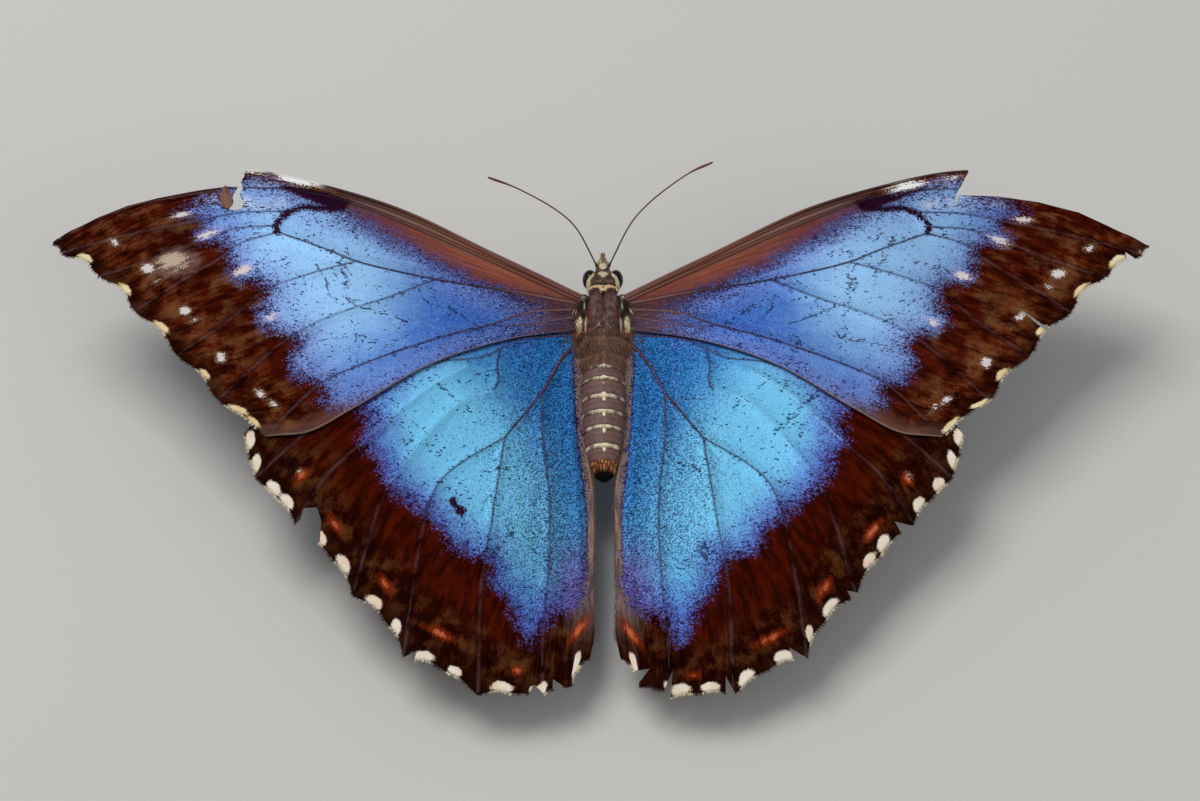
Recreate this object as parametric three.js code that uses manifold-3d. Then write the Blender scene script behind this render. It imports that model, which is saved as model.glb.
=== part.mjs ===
// Blue morpho butterfly (Morpho peleides), life size, resting with its wings
// spread flat. Millimetres, +Z up, head towards +Y, the insect's right side
// towards +X. The origin is on the floor, under the middle of the insect.
//
// Body and wings are laid out in the insect's own level frame, as distances
// out from the middle line, forward of the wing hinges and up from the wings.
// That frame is then raised and tipped as one. The legs are laid out from the
// floor, because their feet lie flat on it.

import * as THREE from 'three';
import { mergeVertices } from 'three/addons/utils/BufferGeometryUtils.js';
import Module from 'manifold-3d';

const wasm = await Module();
wasm.setup();

// How the insect stands.
const HINGE_HEIGHT = 14;
const NOSE_UP_DEG = 8;
const ROLL_DEG = 0.7;
const YAW_DEG = 0.3;
const GAP = 0.3;

// The trunk: three barrels on the middle line. Fullness 2 is an ellipse, and a
// higher one is blunter.
const HEAD = { middle: 3.7, front: 1.85, rear: 1.85, width: 2.2, height: 1.9, lift: 0.3,
  frontFullness: 2.2, rearFullness: 2.2 };
const THORAX = { middle: -3.55, front: 5.15, rear: 5.15, width: 3.5, height: 3.2, lift: -0.3,
  frontFullness: 2.4, rearFullness: 2.6 };
const ABDOMEN = { middle: -16.8, front: 7.8, rear: 9.2, width: 3, height: 2.8, lift: -0.2,
  frontFullness: 3.6, rearFullness: 2.2 };

const EYE_RADIUS = 1.36;
const EYE_HEIGHT = 1.7;
const EYE_TALLNESS = 1.12;
const EYE_SEAT = 0.95;
const EYE_TURN_DEG = 14;

// The wings share one gently arched sheet, the forewing above the hindwing.
const WING_THICKNESS = 0.55;
const LAYER_OFFSET = 0.45;
const SHEET_RISE = 0.11;
const SHEET_DROOP = 0.0009;

// Wing plans as [out, forward] points. The vein ends run along the margin from
// the tip of the wing to its hind corner, and the space between two is a cell.
const FOREWING = {
  name: 'forewing',
  layer: LAYER_OFFSET,
  rootSpan: [0.3, -4.1],
  leading: [[13.5, 6.1], [27, 12.9], [38, 16.6], [47, 18.5], [56, 18.2], [65, 14.9]],
  veinEnds: [[73.6, 7.2], [72.2, 5.6], [67, 2], [62.1, -3.3], [56.1, -9.9], [50.5, -16.3],
    [44, -21.5]],
  trailing: [[13, -6.3], [23.5, -10.8], [33, -17.3], [38.5, -20.8]],
  scallops: { perCell: 1, depth: 0.35 },
  stepsAlong: 10,
};
const HINDWING = {
  name: 'hindwing',
  layer: -LAYER_OFFSET,
  rootSpan: [-3.6, -7.9],
  leading: [[12, -1], [24, -4], [36, -10.5], [43.6, -16]],
  veinEnds: [[46.9, -21], [45.1, -27.1], [39.8, -33.7], [32.2, -43.5], [25.5, -52],
    [16.2, -56.7], [8.1, -56.9], [4.4, -55.2], [1.9, -51.1]],
  trailing: [[3.35, -12], [3.15, -19], [2.2, -27], [1.75, -34], [1.75, -42], [1.5, -48]],
  scallops: { perCell: 2, depth: 0.4 },
  stepsAlong: 9,
};

// Old damage, cut out of the whole wing. A beak has torn a strip off the front
// edge of both forewings, from a break outwards; each tear is an outline in the
// wing's plan. Nicks are [place along the margin in cells, half width, depth].
const TEARS = {
  forewing_left: [[[48.8, 26], [48.7, 14], [48.5, 12.5], [50.2, 12.4], [50.5, 15.6], [54.5, 15.2],
    [59.8, 14.2], [64, 12.9], [67.7, 11.1], [70.6, 9.4], [73.2, 7.7], [80, 8], [80, 26]]],
  forewing_right: [[[49.9, 26], [49.7, 18.5], [48.5, 16.2], [47.9, 15.1], [47.5, 12.8], [48.2, 14.9],
    [53.6, 14.6], [59, 13.8], [64.3, 12.1], [69.5, 9.2], [73.2, 7.1], [80, 8], [80, 26]]],
  hindwing_left: [[[40.6, -34.6], [39.2, -33], [38.8, -31.5], [37.1, -31.3], [36.5, -33.2],
    [36.6, -36.4], [38.6, -39]]],
  hindwing_right: [],
};
const NICKS = {
  forewing_left: [],
  forewing_right: [[1.3, 0.5, 1], [3.45, 0.3, 5.4]],
  hindwing_left: [[4.06, 0.6, 1.5], [5.9, 1.1, 1.5], [6.6, 0.7, 1.3]],
  hindwing_right: [[2.1, 0.8, 1.8], [3.5, 7, 1.4], [4.08, 0.7, 2], [5.05, 0.6, 2.4],
    [6.1, 0.5, 3.4], [7.3, 0.7, 1.8]],
};

// Feelers and mouthparts, as routes of [out, forward, up] points on the right
// side, with their radii at even steps. Leg routes start from the floor.
const ANTENNA = {
  right: [[0.78, 5.2, 1.8], [4.6, 12.4, 2.2], [11.6, 18.8, 2.5], [15.1, 20.3, 3.2]],
  left: [[0.78, 5.2, 1.8], [4.3, 11.3, 2.4], [11.1, 16, 2.9], [15.6, 17.6, 3.6]],
};
const ANTENNA_RADII = [0.25, 0.25, 0.25, 0.27, 0.36, 0.4, 0.26];
const PALP = [[0.82, 5.55, -1.1], [0.78, 6.3, 0], [0.4, 6.65, 1.1]];
const PALP_RADII = [0.34, 0.48, 0.44, 0.22];
const PROBOSCIS = { forward: 6.2, up: -1.9, outerRadius: 1.15, pitch: 0.62, turns: 1.5,
  tubeRadius: 0.25 };
const FORELEG = [[0.9, 1.5, 10.7], [1.3, 3.2, 10.2], [1.5, 4.6, 11.1], [1.1, 6.2, 10.5]];
const LEGS = {
  midleg: {
    femur: [[1.5, -0.8, 9.9], [2.3, -0.2, 8.9], [5.4, 1.6, 9.5], [8.8, 3.5, 10]],
    tibia: [[9.25, 3.8, 9.5], [11.1, 5.4, 5.6], [12.5, 6.7, 1]],
    tarsus: [[12.9, 7.05, 0.42], [13.8, 7.9, 0.24], [15.6, 9.6, 0.24], [17.2, 11.2, 0.24]],
  },
  hindleg: {
    femur: [[1.5, -5.2, 9.3], [2.2, -6, 8.3], [4.8, -8.8, 8.6], [7.6, -11.7, 8.8]],
    tibia: [[8, -12.1, 8.3], [9.2, -14.5, 4.9], [10.3, -16.6, 1]],
    tarsus: [[10.5, -17.1, 0.42], [11, -18.2, 0.24], [12.1, -20.4, 0.24], [13.1, -22.6, 0.24]],
  },
};
const LEG_RADII = {
  femur: [0.5, 0.42, 0.5, 0.42, 0.34],
  tibia: [0.36, 0.32, 0.3],
  tarsus: [0.29, 0.3, 0.29, 0.28, 0.27],
};

const FINISHES = {
  coat: { color: 0x4a352a, roughness: 0.9, metalness: 0 },
  shell: { color: 0x2a1a12, roughness: 0.5, metalness: 0 },
  cream: { color: 0xd9bd8b, roughness: 0.9, metalness: 0 },
  eye: { color: 0x0d0906, roughness: 0.2, metalness: 0 },
  wing: { color: 0x3f8fd8, roughness: 0.45, metalness: 0.2 },
};

const radians = THREE.MathUtils.degToRad;
const lerp = THREE.MathUtils.lerp;

function pieceMesh(name, geometry, finish) {
  const mesh = new THREE.Mesh(geometry, new THREE.MeshStandardMaterial(FINISHES[finish]));
  mesh.name = name;
  return mesh;
}

// Only positions, with shared corners joined, so that a surface is closed.
function closed(geometry) {
  geometry.deleteAttribute('normal');
  geometry.deleteAttribute('uv');
  return mergeVertices(geometry, 1e-5);
}

function splineOf(points) {
  const corners = points.map(([x, y, z = 0]) => new THREE.Vector3(x, y, z));
  return new THREE.CatmullRomCurve3(corners, false, 'centripetal');
}

// A value read along a row of evenly spaced ones.
function readAlong(values, t) {
  const place = Math.min(Math.max(t, 0), 1) * (values.length - 1);
  const index = Math.min(Math.floor(place), values.length - 2);
  return lerp(values[index], values[index + 1], place - index);
}

// ---- The trunk ----------------------------------------------------------

// Half width of a barrel at a place on the middle line, 0 past its ends.
function barrelHalfWidth(barrel, forward) {
  const ahead = forward > barrel.middle;
  const length = ahead ? barrel.front : barrel.rear;
  const fullness = ahead ? barrel.frontFullness : barrel.rearFullness;
  const share = Math.min(Math.abs(forward - barrel.middle) / length, 1);
  return barrel.width * (1 - share ** fullness) ** (1 / fullness);
}

function barrelGeometry(barrel, rings, sides) {
  const profile = [];
  for (let ring = 0; ring <= rings; ring += 1) {
    const angle = Math.PI * (ring / rings - 0.5);
    const ahead = angle > 0;
    const power = 2 / (ahead ? barrel.frontFullness : barrel.rearFullness);
    const length = ahead ? barrel.front : barrel.rear;
    const along = Math.sign(angle) * Math.abs(Math.sin(angle)) ** power * length;
    const across = ring % rings === 0 ? 0 : Math.cos(angle) ** power;
    profile.push(new THREE.Vector2(across, barrel.middle + along));
  }
  const geometry = new THREE.LatheGeometry(profile, sides);
  geometry.scale(barrel.width, 1, barrel.height);
  geometry.translate(0, 0, barrel.lift);
  return closed(geometry);
}

// A dome that looks out sideways and a little forward from its seat.
function eyeGeometry(side, margin) {
  const profile = [new THREE.Vector2(0, -margin)];
  const rings = 6;
  for (let ring = 0; ring <= rings; ring += 1) {
    const angle = (ring / rings) * (Math.PI / 2);
    const across = ring === rings ? 0 : (EYE_RADIUS + margin) * Math.cos(angle);
    const out = (EYE_HEIGHT + 2 * margin) * Math.sin(angle) - margin;
    profile.push(new THREE.Vector2(across, out));
  }
  const geometry = new THREE.LatheGeometry(profile, 14);
  geometry.scale(1, 1, EYE_TALLNESS);
  geometry.rotateZ(-side * Math.PI / 2);
  geometry.rotateZ(side * radians(EYE_TURN_DEG));
  geometry.translate(side * EYE_SEAT, HEAD.middle, HEAD.lift);
  return closed(geometry);
}

function solidOf(geometry) {
  return new wasm.Manifold(new wasm.Mesh({
    numProp: 3,
    vertProperties: new Float32Array(geometry.attributes.position.array),
    triVerts: new Uint32Array(geometry.index.array),
  }));
}

function geometryOf(solid) {
  const mesh = solid.getMesh();
  const geometry = new THREE.BufferGeometry();
  geometry.setAttribute('position', new THREE.BufferAttribute(mesh.vertProperties, 3));
  geometry.setIndex(new THREE.BufferAttribute(mesh.triVerts, 1));
  return geometry;
}

function headGeometry() {
  let solid = solidOf(barrelGeometry(HEAD, 12, 20));
  for (const side of [-1, 1]) {
    solid = solid.subtract(solidOf(eyeGeometry(side, GAP)));
  }
  return geometryOf(solid);
}

// ---- Feelers, mouthparts and legs ---------------------------------------

// A round limb: a lathe's unit tube, bent along a route and given its radii.
// It is turned by half a side, so that a level limb has a flat facet below.
function limbGeometry(route, radii, rings, sides, reference) {
  const profile = [new THREE.Vector2(0, 0)];
  for (let ring = 0; ring <= rings; ring += 1) {
    profile.push(new THREE.Vector2(1, ring / rings));
  }
  profile.push(new THREE.Vector2(0, 1));
  const geometry = closed(new THREE.LatheGeometry(profile, sides, Math.PI / sides));
  const position = geometry.attributes.position;
  for (let corner = 0; corner < position.count; corner += 1) {
    const along = position.getY(corner);
    const tangent = route.getTangentAt(along);
    const sideways = new THREE.Vector3().crossVectors(reference, tangent).normalize();
    const upward = new THREE.Vector3().crossVectors(tangent, sideways);
    const radius = readAlong(radii, along);
    const place = route.getPointAt(along);
    place.addScaledVector(sideways, radius * position.getZ(corner));
    place.addScaledVector(upward, radius * position.getX(corner));
    position.setXYZ(corner, place.x, place.y, place.z);
  }
  return geometry;
}

const UP = new THREE.Vector3(0, 0, 1);
const FORWARD = new THREE.Vector3(0, 1, 0);
const RIGHT = new THREE.Vector3(1, 0, 0);

function mirrored(points, side) {
  return points.map(([x, y, z]) => [side * x, y, z]);
}

// The tongue, coiled like a watch spring under the palps.
function proboscisGeometry() {
  const points = [];
  const steps = 24;
  for (let step = 0; step <= steps; step += 1) {
    const turned = (step / steps) * PROBOSCIS.turns;
    const radius = PROBOSCIS.outerRadius - turned * PROBOSCIS.pitch;
    const angle = Math.PI - turned * 2 * Math.PI;
    points.push([0, PROBOSCIS.forward + radius * Math.cos(angle),
      PROBOSCIS.up + radius * Math.sin(angle)]);
  }
  return limbGeometry(splineOf(points), [PROBOSCIS.tubeRadius, PROBOSCIS.tubeRadius], 26, 8, RIGHT);
}

// A foot lies on the floor, so its underside is a flat at floor level.
function tarsusGeometry(route) {
  const geometry = limbGeometry(route, LEG_RADII.tarsus, 8, 8, UP);
  const position = geometry.attributes.position;
  for (let corner = 0; corner < position.count; corner += 1) {
    position.setZ(corner, Math.max(position.getZ(corner), 0));
  }
  return geometry;
}

// ---- The wings ----------------------------------------------------------

function sheetHeight(out) {
  return SHEET_RISE * out - SHEET_DROOP * out * out;
}

// A root corner stands a gap off the trunk's side.
function rootCorner(forward) {
  const trunk = Math.max(barrelHalfWidth(THORAX, forward), barrelHalfWidth(ABDOMEN, forward));
  return [trunk + GAP, forward];
}

// The margin at a place counted in cells, with the way into the wing there.
// Between the veins it is drawn in a little, in hollows.
function marginAt(plan, place) {
  const share = Math.min(Math.max(place / plan.cells, 0), 1);
  const point = plan.margin.getPoint(share);
  const along = plan.margin.getTangent(share);
  const inward = new THREE.Vector3(along.y, -along.x, 0);
  const wave = Math.sin(Math.PI * plan.scallops.perCell * place);
  point.addScaledVector(inward, plan.scallops.depth * wave * wave);
  return { point, along, inward };
}

// The whole wing is a one-layer box of many cells, moved onto the arched sheet
// between its four edges: root, front edge, margin and hind edge.
function wholeWingGeometry(plan) {
  const rootFront = rootCorner(plan.rootSpan[0]);
  const rootRear = rootCorner(plan.rootSpan[1]);
  const tip = plan.veinEnds[0];
  const heel = plan.veinEnds[plan.cells];
  const leading = splineOf([rootFront, ...plan.leading, tip]);
  const trailing = splineOf([rootRear, ...plan.trailing, heel]);
  const stepsAcross = plan.cells * 2 * plan.scallops.perCell;
  const geometry = closed(new THREE.BoxGeometry(1, 1, 1, plan.stepsAlong, stepsAcross, 1));
  const position = geometry.attributes.position;
  for (let corner = 0; corner < position.count; corner += 1) {
    const u = position.getX(corner) + 0.5;
    const v = 0.5 - position.getY(corner);
    const root = rootCorner(lerp(plan.rootSpan[0], plan.rootSpan[1], v));
    const margin = marginAt(plan, v * plan.cells).point;
    const front = leading.getPointAt(u);
    const rear = trailing.getPointAt(u);
    const [out, forward] = [0, 1].map((axis) => {
      const frontToRear = lerp(front.getComponent(axis), rear.getComponent(axis), v);
      const rootToMargin = lerp(root[axis], margin.getComponent(axis), u);
      const rootLine = lerp(rootFront[axis], rootRear[axis], v);
      const marginLine = lerp(tip[axis], heel[axis], v);
      return frontToRear + rootToMargin - lerp(rootLine, marginLine, u);
    });
    const height = sheetHeight(out) + plan.layer + position.getZ(corner) * WING_THICKNESS;
    position.setXYZ(corner, out, forward, height);
  }
  return geometry;
}

function nickOutline(plan, [place, halfWidth, depth]) {
  const { point, along, inward } = marginAt(plan, place);
  const beyond = 1;
  const spread = halfWidth * (1 + beyond / depth);
  const outside = point.clone().addScaledVector(inward, -beyond);
  const corners = [
    outside.clone().addScaledVector(along, -spread),
    outside.clone().addScaledVector(along, spread),
    point.clone().addScaledVector(inward, depth),
  ];
  return corners.map((corner) => [corner.x, corner.y]);
}

// A cutter is an outline in the wing's plan, drawn out through the sheet.
function cutterSolid(outline) {
  const reach = 20;
  const shape = new THREE.Shape(outline.map(([out, forward]) => new THREE.Vector2(out, forward)));
  const geometry = new THREE.ExtrudeGeometry(shape, { depth: 2 * reach, bevelEnabled: false });
  geometry.translate(0, 0, -reach);
  return solidOf(closed(geometry));
}

function wingGeometry(plan, side, tears, nicks) {
  plan.cells = plan.veinEnds.length - 1;
  plan.margin = splineOf(plan.veinEnds);
  let solid = solidOf(wholeWingGeometry(plan));
  const outlines = [...tears, ...nicks.map((nick) => nickOutline(plan, nick))];
  for (const outline of outlines) {
    solid = solid.subtract(cutterSolid(outline));
  }
  const geometry = geometryOf(solid);
  if (side < 0) {
    geometry.scale(-1, 1, 1);
    geometry.setIndex([...geometry.index.array].reverse());
  }
  return geometry;
}

// ---- Assembly -----------------------------------------------------------

const insect = new THREE.Group();
insect.add(
  pieceMesh('head', headGeometry(), 'coat'),
  pieceMesh('thorax', barrelGeometry(THORAX, 14, 22), 'coat'),
  pieceMesh('abdomen', barrelGeometry(ABDOMEN, 18, 20), 'coat'),
  pieceMesh('proboscis', proboscisGeometry(), 'shell'),
);
const legs = new THREE.Group();

for (const [sideName, side] of [['left', -1], ['right', 1]]) {
  const antenna = splineOf(mirrored(ANTENNA[sideName], side));
  const palp = splineOf(mirrored(PALP, side));
  insect.add(
    pieceMesh(`eye_${sideName}`, eyeGeometry(side, 0), 'eye'),
    pieceMesh(`antenna_${sideName}`, limbGeometry(antenna, ANTENNA_RADII, 16, 8, UP), 'shell'),
    pieceMesh(`palp_${sideName}`, limbGeometry(palp, PALP_RADII, 7, 10, RIGHT), 'cream'),
  );
  for (const plan of [FOREWING, HINDWING]) {
    const name = `${plan.name}_${sideName}`;
    insect.add(pieceMesh(name, wingGeometry(plan, side, TEARS[name], NICKS[name]), 'wing'));
  }
  const foreleg = splineOf(mirrored(FORELEG, side));
  legs.add(pieceMesh(`foreleg_${sideName}`,
    limbGeometry(foreleg, LEG_RADII.tibia, 10, 8, RIGHT), 'coat'));
  for (const [leg, routes] of Object.entries(LEGS)) {
    const femur = splineOf(mirrored(routes.femur, side));
    const tibia = splineOf(mirrored(routes.tibia, side));
    const tarsus = splineOf(mirrored(routes.tarsus, side));
    legs.add(
      pieceMesh(`${leg}_femur_${sideName}`,
        limbGeometry(femur, LEG_RADII.femur, 9, 10, FORWARD), 'shell'),
      pieceMesh(`${leg}_tibia_${sideName}`,
        limbGeometry(tibia, LEG_RADII.tibia, 6, 8, FORWARD), 'shell'),
      pieceMesh(`${leg}_tarsus_${sideName}`, tarsusGeometry(tarsus), 'shell'),
    );
  }
}

insect.position.z = HINGE_HEIGHT;
insect.rotation.set(radians(NOSE_UP_DEG), radians(ROLL_DEG), radians(YAW_DEG));

const butterfly = new THREE.Group();
butterfly.add(insect, legs);
const bounds = new THREE.Box3().setFromObject(butterfly, true);
const middle = bounds.getCenter(new THREE.Vector3());
butterfly.position.set(-middle.x, -middle.y, -bounds.min.z);

export default butterfly;
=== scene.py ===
# %% [markdown]
# # A blue morpho butterfly
# A still, life-size museum model of a large, rather worn blue morpho, standing on its feet with the four
# wings held open. The measured solids come packed as a fixed frame. This lesson puts the real surfaces over
# them: thin scaled wings on raised veins, a furred body in one skin, glossy eyes, feelers, a coiled tongue
# and legs. Everything is modelled in millimetres in the insect's own frame: across to its right, forward,
# and up from the line of the wing hinges. Each finished piece is then carried to its place and turned to
# metres.

# %% Load the frame
from math import cos, pi, radians, sin

import bmesh
import bpy
import numpy as np
from mathutils import Matrix, Vector


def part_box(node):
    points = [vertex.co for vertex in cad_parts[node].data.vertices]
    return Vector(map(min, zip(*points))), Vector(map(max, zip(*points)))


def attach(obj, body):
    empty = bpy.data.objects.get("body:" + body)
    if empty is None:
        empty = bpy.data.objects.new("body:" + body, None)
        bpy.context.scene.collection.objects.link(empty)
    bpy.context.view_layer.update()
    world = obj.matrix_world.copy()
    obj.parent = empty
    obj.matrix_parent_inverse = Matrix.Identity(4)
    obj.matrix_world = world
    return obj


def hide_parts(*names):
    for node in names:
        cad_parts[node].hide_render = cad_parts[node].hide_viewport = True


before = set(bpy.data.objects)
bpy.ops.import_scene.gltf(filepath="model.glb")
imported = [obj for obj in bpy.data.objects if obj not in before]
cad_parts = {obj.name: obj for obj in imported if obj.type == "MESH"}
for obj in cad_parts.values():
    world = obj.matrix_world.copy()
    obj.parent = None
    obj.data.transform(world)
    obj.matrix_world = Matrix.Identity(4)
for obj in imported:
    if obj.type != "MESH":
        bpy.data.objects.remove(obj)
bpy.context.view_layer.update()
MM = 0.001

# %% [markdown]
# The insect stands with its nose raised 8 degrees, and leans and turns by less than a degree, as a real one
# does. The thorax is a symmetrical barrel, so the middle of its box tells where the insect's own origin is.

# %% The insect's frame and the floor's
THORAX_MIDDLE = Vector((0, -3.55, -0.3))
STANCE = (
    Matrix.Rotation(radians(8), 4, "X")
    @ Matrix.Rotation(radians(0.7), 4, "Y")
    @ Matrix.Rotation(radians(0.3), 4, "Z")
)
thorax_low, thorax_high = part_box("thorax")
origin = (thorax_low + thorax_high) / 2 / MM - STANCE @ THORAX_MIDDLE
INSECT = Matrix.Scale(MM, 4) @ Matrix.Translation(origin) @ STANCE
FLOOR = Matrix.Scale(MM, 4) @ Matrix.Translation((origin.x, origin.y, 0))
print("the hinge line's middle stands at", [round(c, 2) for c in origin], "mm")

# %% [markdown]
# The camera stands behind the insect and looks down at 55 degrees through a long lens, so all four wings lie
# open in the view. It is placed first, because every later choice is judged through it.

# %% Camera
CAMERA_DISTANCE = 444
CAMERA_ELEVATION = radians(55)
target = Vector((origin.x - 0.4, origin.y - 12.3, 9.0))
camera_data = bpy.data.cameras.new("camera")
camera_data.sensor_width = 36
camera_data.lens = 100
camera_data.clip_start = 0.01
camera_data.clip_end = 20
camera = bpy.data.objects.new("camera", camera_data)
camera.location = MM * (
    target + CAMERA_DISTANCE * Vector((0, -cos(CAMERA_ELEVATION), sin(CAMERA_ELEVATION)))
)
camera.rotation_euler = (pi / 2 - CAMERA_ELEVATION, 0, 0)
bpy.context.scene.collection.objects.link(camera)
bpy.context.scene.camera = camera
print("the camera stands", round(camera.location.length, 3), "m from the part's origin")

# %% [markdown]
# Colours are written as the six digits a painter would note, and shaders need them as linear light. A
# finish is a small sum over the surface, such as "blue inside this line, speckled near that vein". Written
# with bare nodes such a sum is unreadable, so one class wraps a socket and turns Python arithmetic into
# Math nodes, and a Finish makes every other node through one method.


# %% Shader arithmetic
def colour(digits):
    """A colour from six sRGB hex digits, as linear light with full alpha."""
    parts = [int(digits[i : i + 2], 16) / 255 for i in (0, 2, 4)]
    linear = [c / 12.92 if c <= 0.04045 else ((c + 0.055) / 1.055) ** 2.4 for c in parts]
    return (*linear, 1)


class Wire:
    """An output socket that arithmetic can be written on."""

    def __init__(self, finish, socket):
        self.finish = finish
        self.socket = socket

    def maths(self, operation, *values, clamp=False):
        settings = {"operation": operation, "use_clamp": clamp}
        return self.finish.node("ShaderNodeMath", settings, dict(enumerate(values)))

    def __add__(self, other):
        return self.maths("ADD", self, other)

    def __sub__(self, other):
        return self.maths("SUBTRACT", self, other)

    def __rsub__(self, other):
        return self.maths("SUBTRACT", other, self)

    def __mul__(self, other):
        return self.maths("MULTIPLY", self, other)

    __radd__ = __add__
    __rmul__ = __mul__

    def size(self):
        return self.maths("ABSOLUTE", self)

    def wave(self):
        return self.maths("SINE", self)

    def most(self, other):
        return self.maths("MAXIMUM", self, other)

    def past(self, edge, soft):
        """0 below the edge and 1 above it, eased over soft on both sides."""
        settings = {"interpolation_type": "SMOOTHSTEP"}
        low_side = edge - soft
        high_side = edge + soft
        sockets = {"Value": self, "From Min": low_side, "From Max": high_side}
        return self.finish.node("ShaderNodeMapRange", settings, sockets)


class Finish:
    """A material, and the one place where its nodes are made."""

    def __init__(self, name, **constants):
        self.material = bpy.data.materials.new(name)
        self.material.use_nodes = True
        self.tree = self.material.node_tree
        self.shader = self.tree.nodes["Principled BSDF"]
        for socket, value in constants.items():
            self.shader.inputs[socket.replace("_", " ")].default_value = value

    def feed(self, socket, value):
        if isinstance(value, Wire):
            self.tree.links.new(value.socket, socket)
        else:
            socket.default_value = colour(value) if isinstance(value, str) else value

    def node(self, kind, settings, sockets, output=0):
        made = self.tree.nodes.new(kind)
        for name, value in settings.items():
            setattr(made, name, value)
        for name, value in sockets.items():
            self.feed(made.inputs[name], value)
        return Wire(self, made.outputs[output])

    def surface(self, **sockets):
        for name, value in sockets.items():
            self.feed(self.shader.inputs[name.replace("_", " ")], value)

    def attribute(self, name):
        return self.node("ShaderNodeAttribute", {"attribute_name": name}, {}, "Vector")

    def parts(self, vector):
        """The three numbers of a vector."""
        made = self.node("ShaderNodeSeparateXYZ", {}, {0: vector}, 0)
        outputs = made.socket.node.outputs
        return [Wire(self, outputs[i]) for i in range(3)]

    def blend(self, share, first, second):
        """The first colour, giving way to the second as share goes from 0 to 1. Digits will do for either."""
        settings = {"data_type": "RGBA", "clamp_factor": True}
        return self.node("ShaderNodeMix", settings, {0: share, 6: first, 7: second}, 2)

    def stretched(self, vector, scale, turn=0.0):
        """A vector turned about its third axis, then scaled."""
        sockets = {"Vector": vector, "Rotation": (0, 0, turn), "Scale": scale}
        return self.node("ShaderNodeMapping", {"vector_type": "POINT"}, sockets)

    def noise(self, vector, scale, detail=2.0, roughness=0.5):
        sockets = {"Vector": vector, "Scale": scale, "Detail": detail, "Roughness": roughness}
        return self.node("ShaderNodeTexNoise", {}, sockets, "Fac")

    def cells(self, vector, scale):
        """How far each place is from the middle of its cell."""
        return self.node("ShaderNodeTexVoronoi", {}, {"Vector": vector, "Scale": scale}, "Distance")

    def grains(self, vector, scale):
        """A random number from 0 to 1 for each small cell, like scattered scales."""
        tint = self.node("ShaderNodeTexVoronoi", {}, {"Vector": vector, "Scale": scale}, "Color")
        return self.parts(tint)[0]

    def bump(self, height, depth, strength=1.0):
        """A bump whose height of 1 stands depth millimetres proud."""
        sockets = {"Height": height, "Distance": depth * MM, "Strength": strength}
        return self.node("ShaderNodeBump", {}, sockets)


# %% [markdown]
# Every piece leaves the workshop the same way: a mesh in millimetres is carried to its place, given its
# finishes and shaded smooth, and rides on the frame's one body.


# %% Handing a piece over
def hand_over(name, mesh, finishes, replaced=(), place=INSECT):
    """Carries a mesh to the model as a named piece on the root body, hiding the frame's parts that it
    replaces.
    """
    mesh.name = name
    mesh.transform(place)
    for finish in finishes:
        mesh.materials.append(finish.material)
    mesh.polygons.foreach_set("use_smooth", [True] * len(mesh.polygons))
    mesh.update()
    piece = bpy.data.objects.new(name, mesh)
    bpy.context.scene.collection.objects.link(piece)
    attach(piece, "root")
    if replaced:
        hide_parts(*replaced)
    mesh.calc_loop_triangles()
    print(name, "has", len(mesh.loop_triangles), "triangles")


def as_mesh(bm, name):
    """A mesh of what a bmesh holds; the bmesh is freed."""
    mesh = bpy.data.meshes.new(name)
    bm.to_mesh(mesh)
    bm.free()
    return mesh


def write_vectors(mesh, name, values):
    """Stores one vector for each vertex under a name that a finish can read."""
    layer = mesh.attributes.new(name, "FLOAT_VECTOR", "POINT")
    layer.data.foreach_set("vector", np.asarray(values, np.float32).ravel())


def write_fields(mesh, fields):
    for name, values in fields.items():
        write_vectors(mesh, name, values)


def places_of(mesh):
    """The places of a mesh's vertices."""
    places = np.empty(len(mesh.vertices) * 3, np.float32)
    mesh.vertices.foreach_get("co", places)
    return places.reshape(-1, 3).astype(float)


def put_places(mesh, places):
    mesh.vertices.foreach_set("co", np.asarray(places, np.float32).ravel())


def held(values):
    """Values held between 0 and 1."""
    return np.clip(values, 0, 1)


SIDES = {"left": -1, "right": 1}

# %% [markdown]
# ## The wings
# A wing is a sheet stretched between four curves: the root on the body, the leading edge, the trailing edge
# and the outer margin, whose corners are the ends of the veins. A Coons patch blends the four, so a point
# of the sheet is found from two shares: how far out from root to margin, and how far back from the leading
# edge. The same plan is used for the sheet, its veins, its fringe and its markings, so they all agree.

# %% Plans of the fore and hind wing
FOREWING = {
    "root": [(2.0, 0.3), (3.0, -4.1)],
    "leading": [(13.5, 6.1), (27, 12.9), (38, 16.6), (47, 18.5), (56, 18.2), (65, 14.9)],
    "vein_ends": [
        (73.6, 7.2), (72.2, 5.6), (67, 2), (62, -3.3), (56.1, -9.9), (50.5, -16.3), (44, -21.5),
    ],
    "trailing": [(13, -6.3), (23.5, -10.8), (33, -17.3), (38.5, -20.8)],
    "hollow depths": [0.6, 0.9, 0.95, 0.95, 0.95, 0.6],
    "scallop": (2.0, 0),
    "layer": 0.3,
    "steps": (236, 156),
    "blue inset": 0.9,
}
HINDWING = {
    "root": [(3.0, -3.6), (2.0, -7.9)],
    "leading": [(12, -1), (24, -4), (36, -10.5), (43.6, -16)],
    "vein_ends": [
        (46.9, -21), (45.1, -27.1), (39.8, -33.7), (32.2, -43.5), (25.5, -52), (16.2, -56.7),
        (8.1, -56.9), (4.4, -55.2), (1.9, -51.1),
    ],
    "trailing": [(2.9, -12), (2.7, -18), (2.0, -23.5), (1.5, -27), (1.4, -34), (1.5, -42), (1.4, -48)],
    "hollow depths": [0.2, 0.9, 1.5, 2.3, 2.3, 1.3, 1.2, 1.0],
    "scallop": (1.0, 0.35),
    "layer": -0.3,
    "steps": (146, 256),
    "blue inset": 1.1,
}


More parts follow.
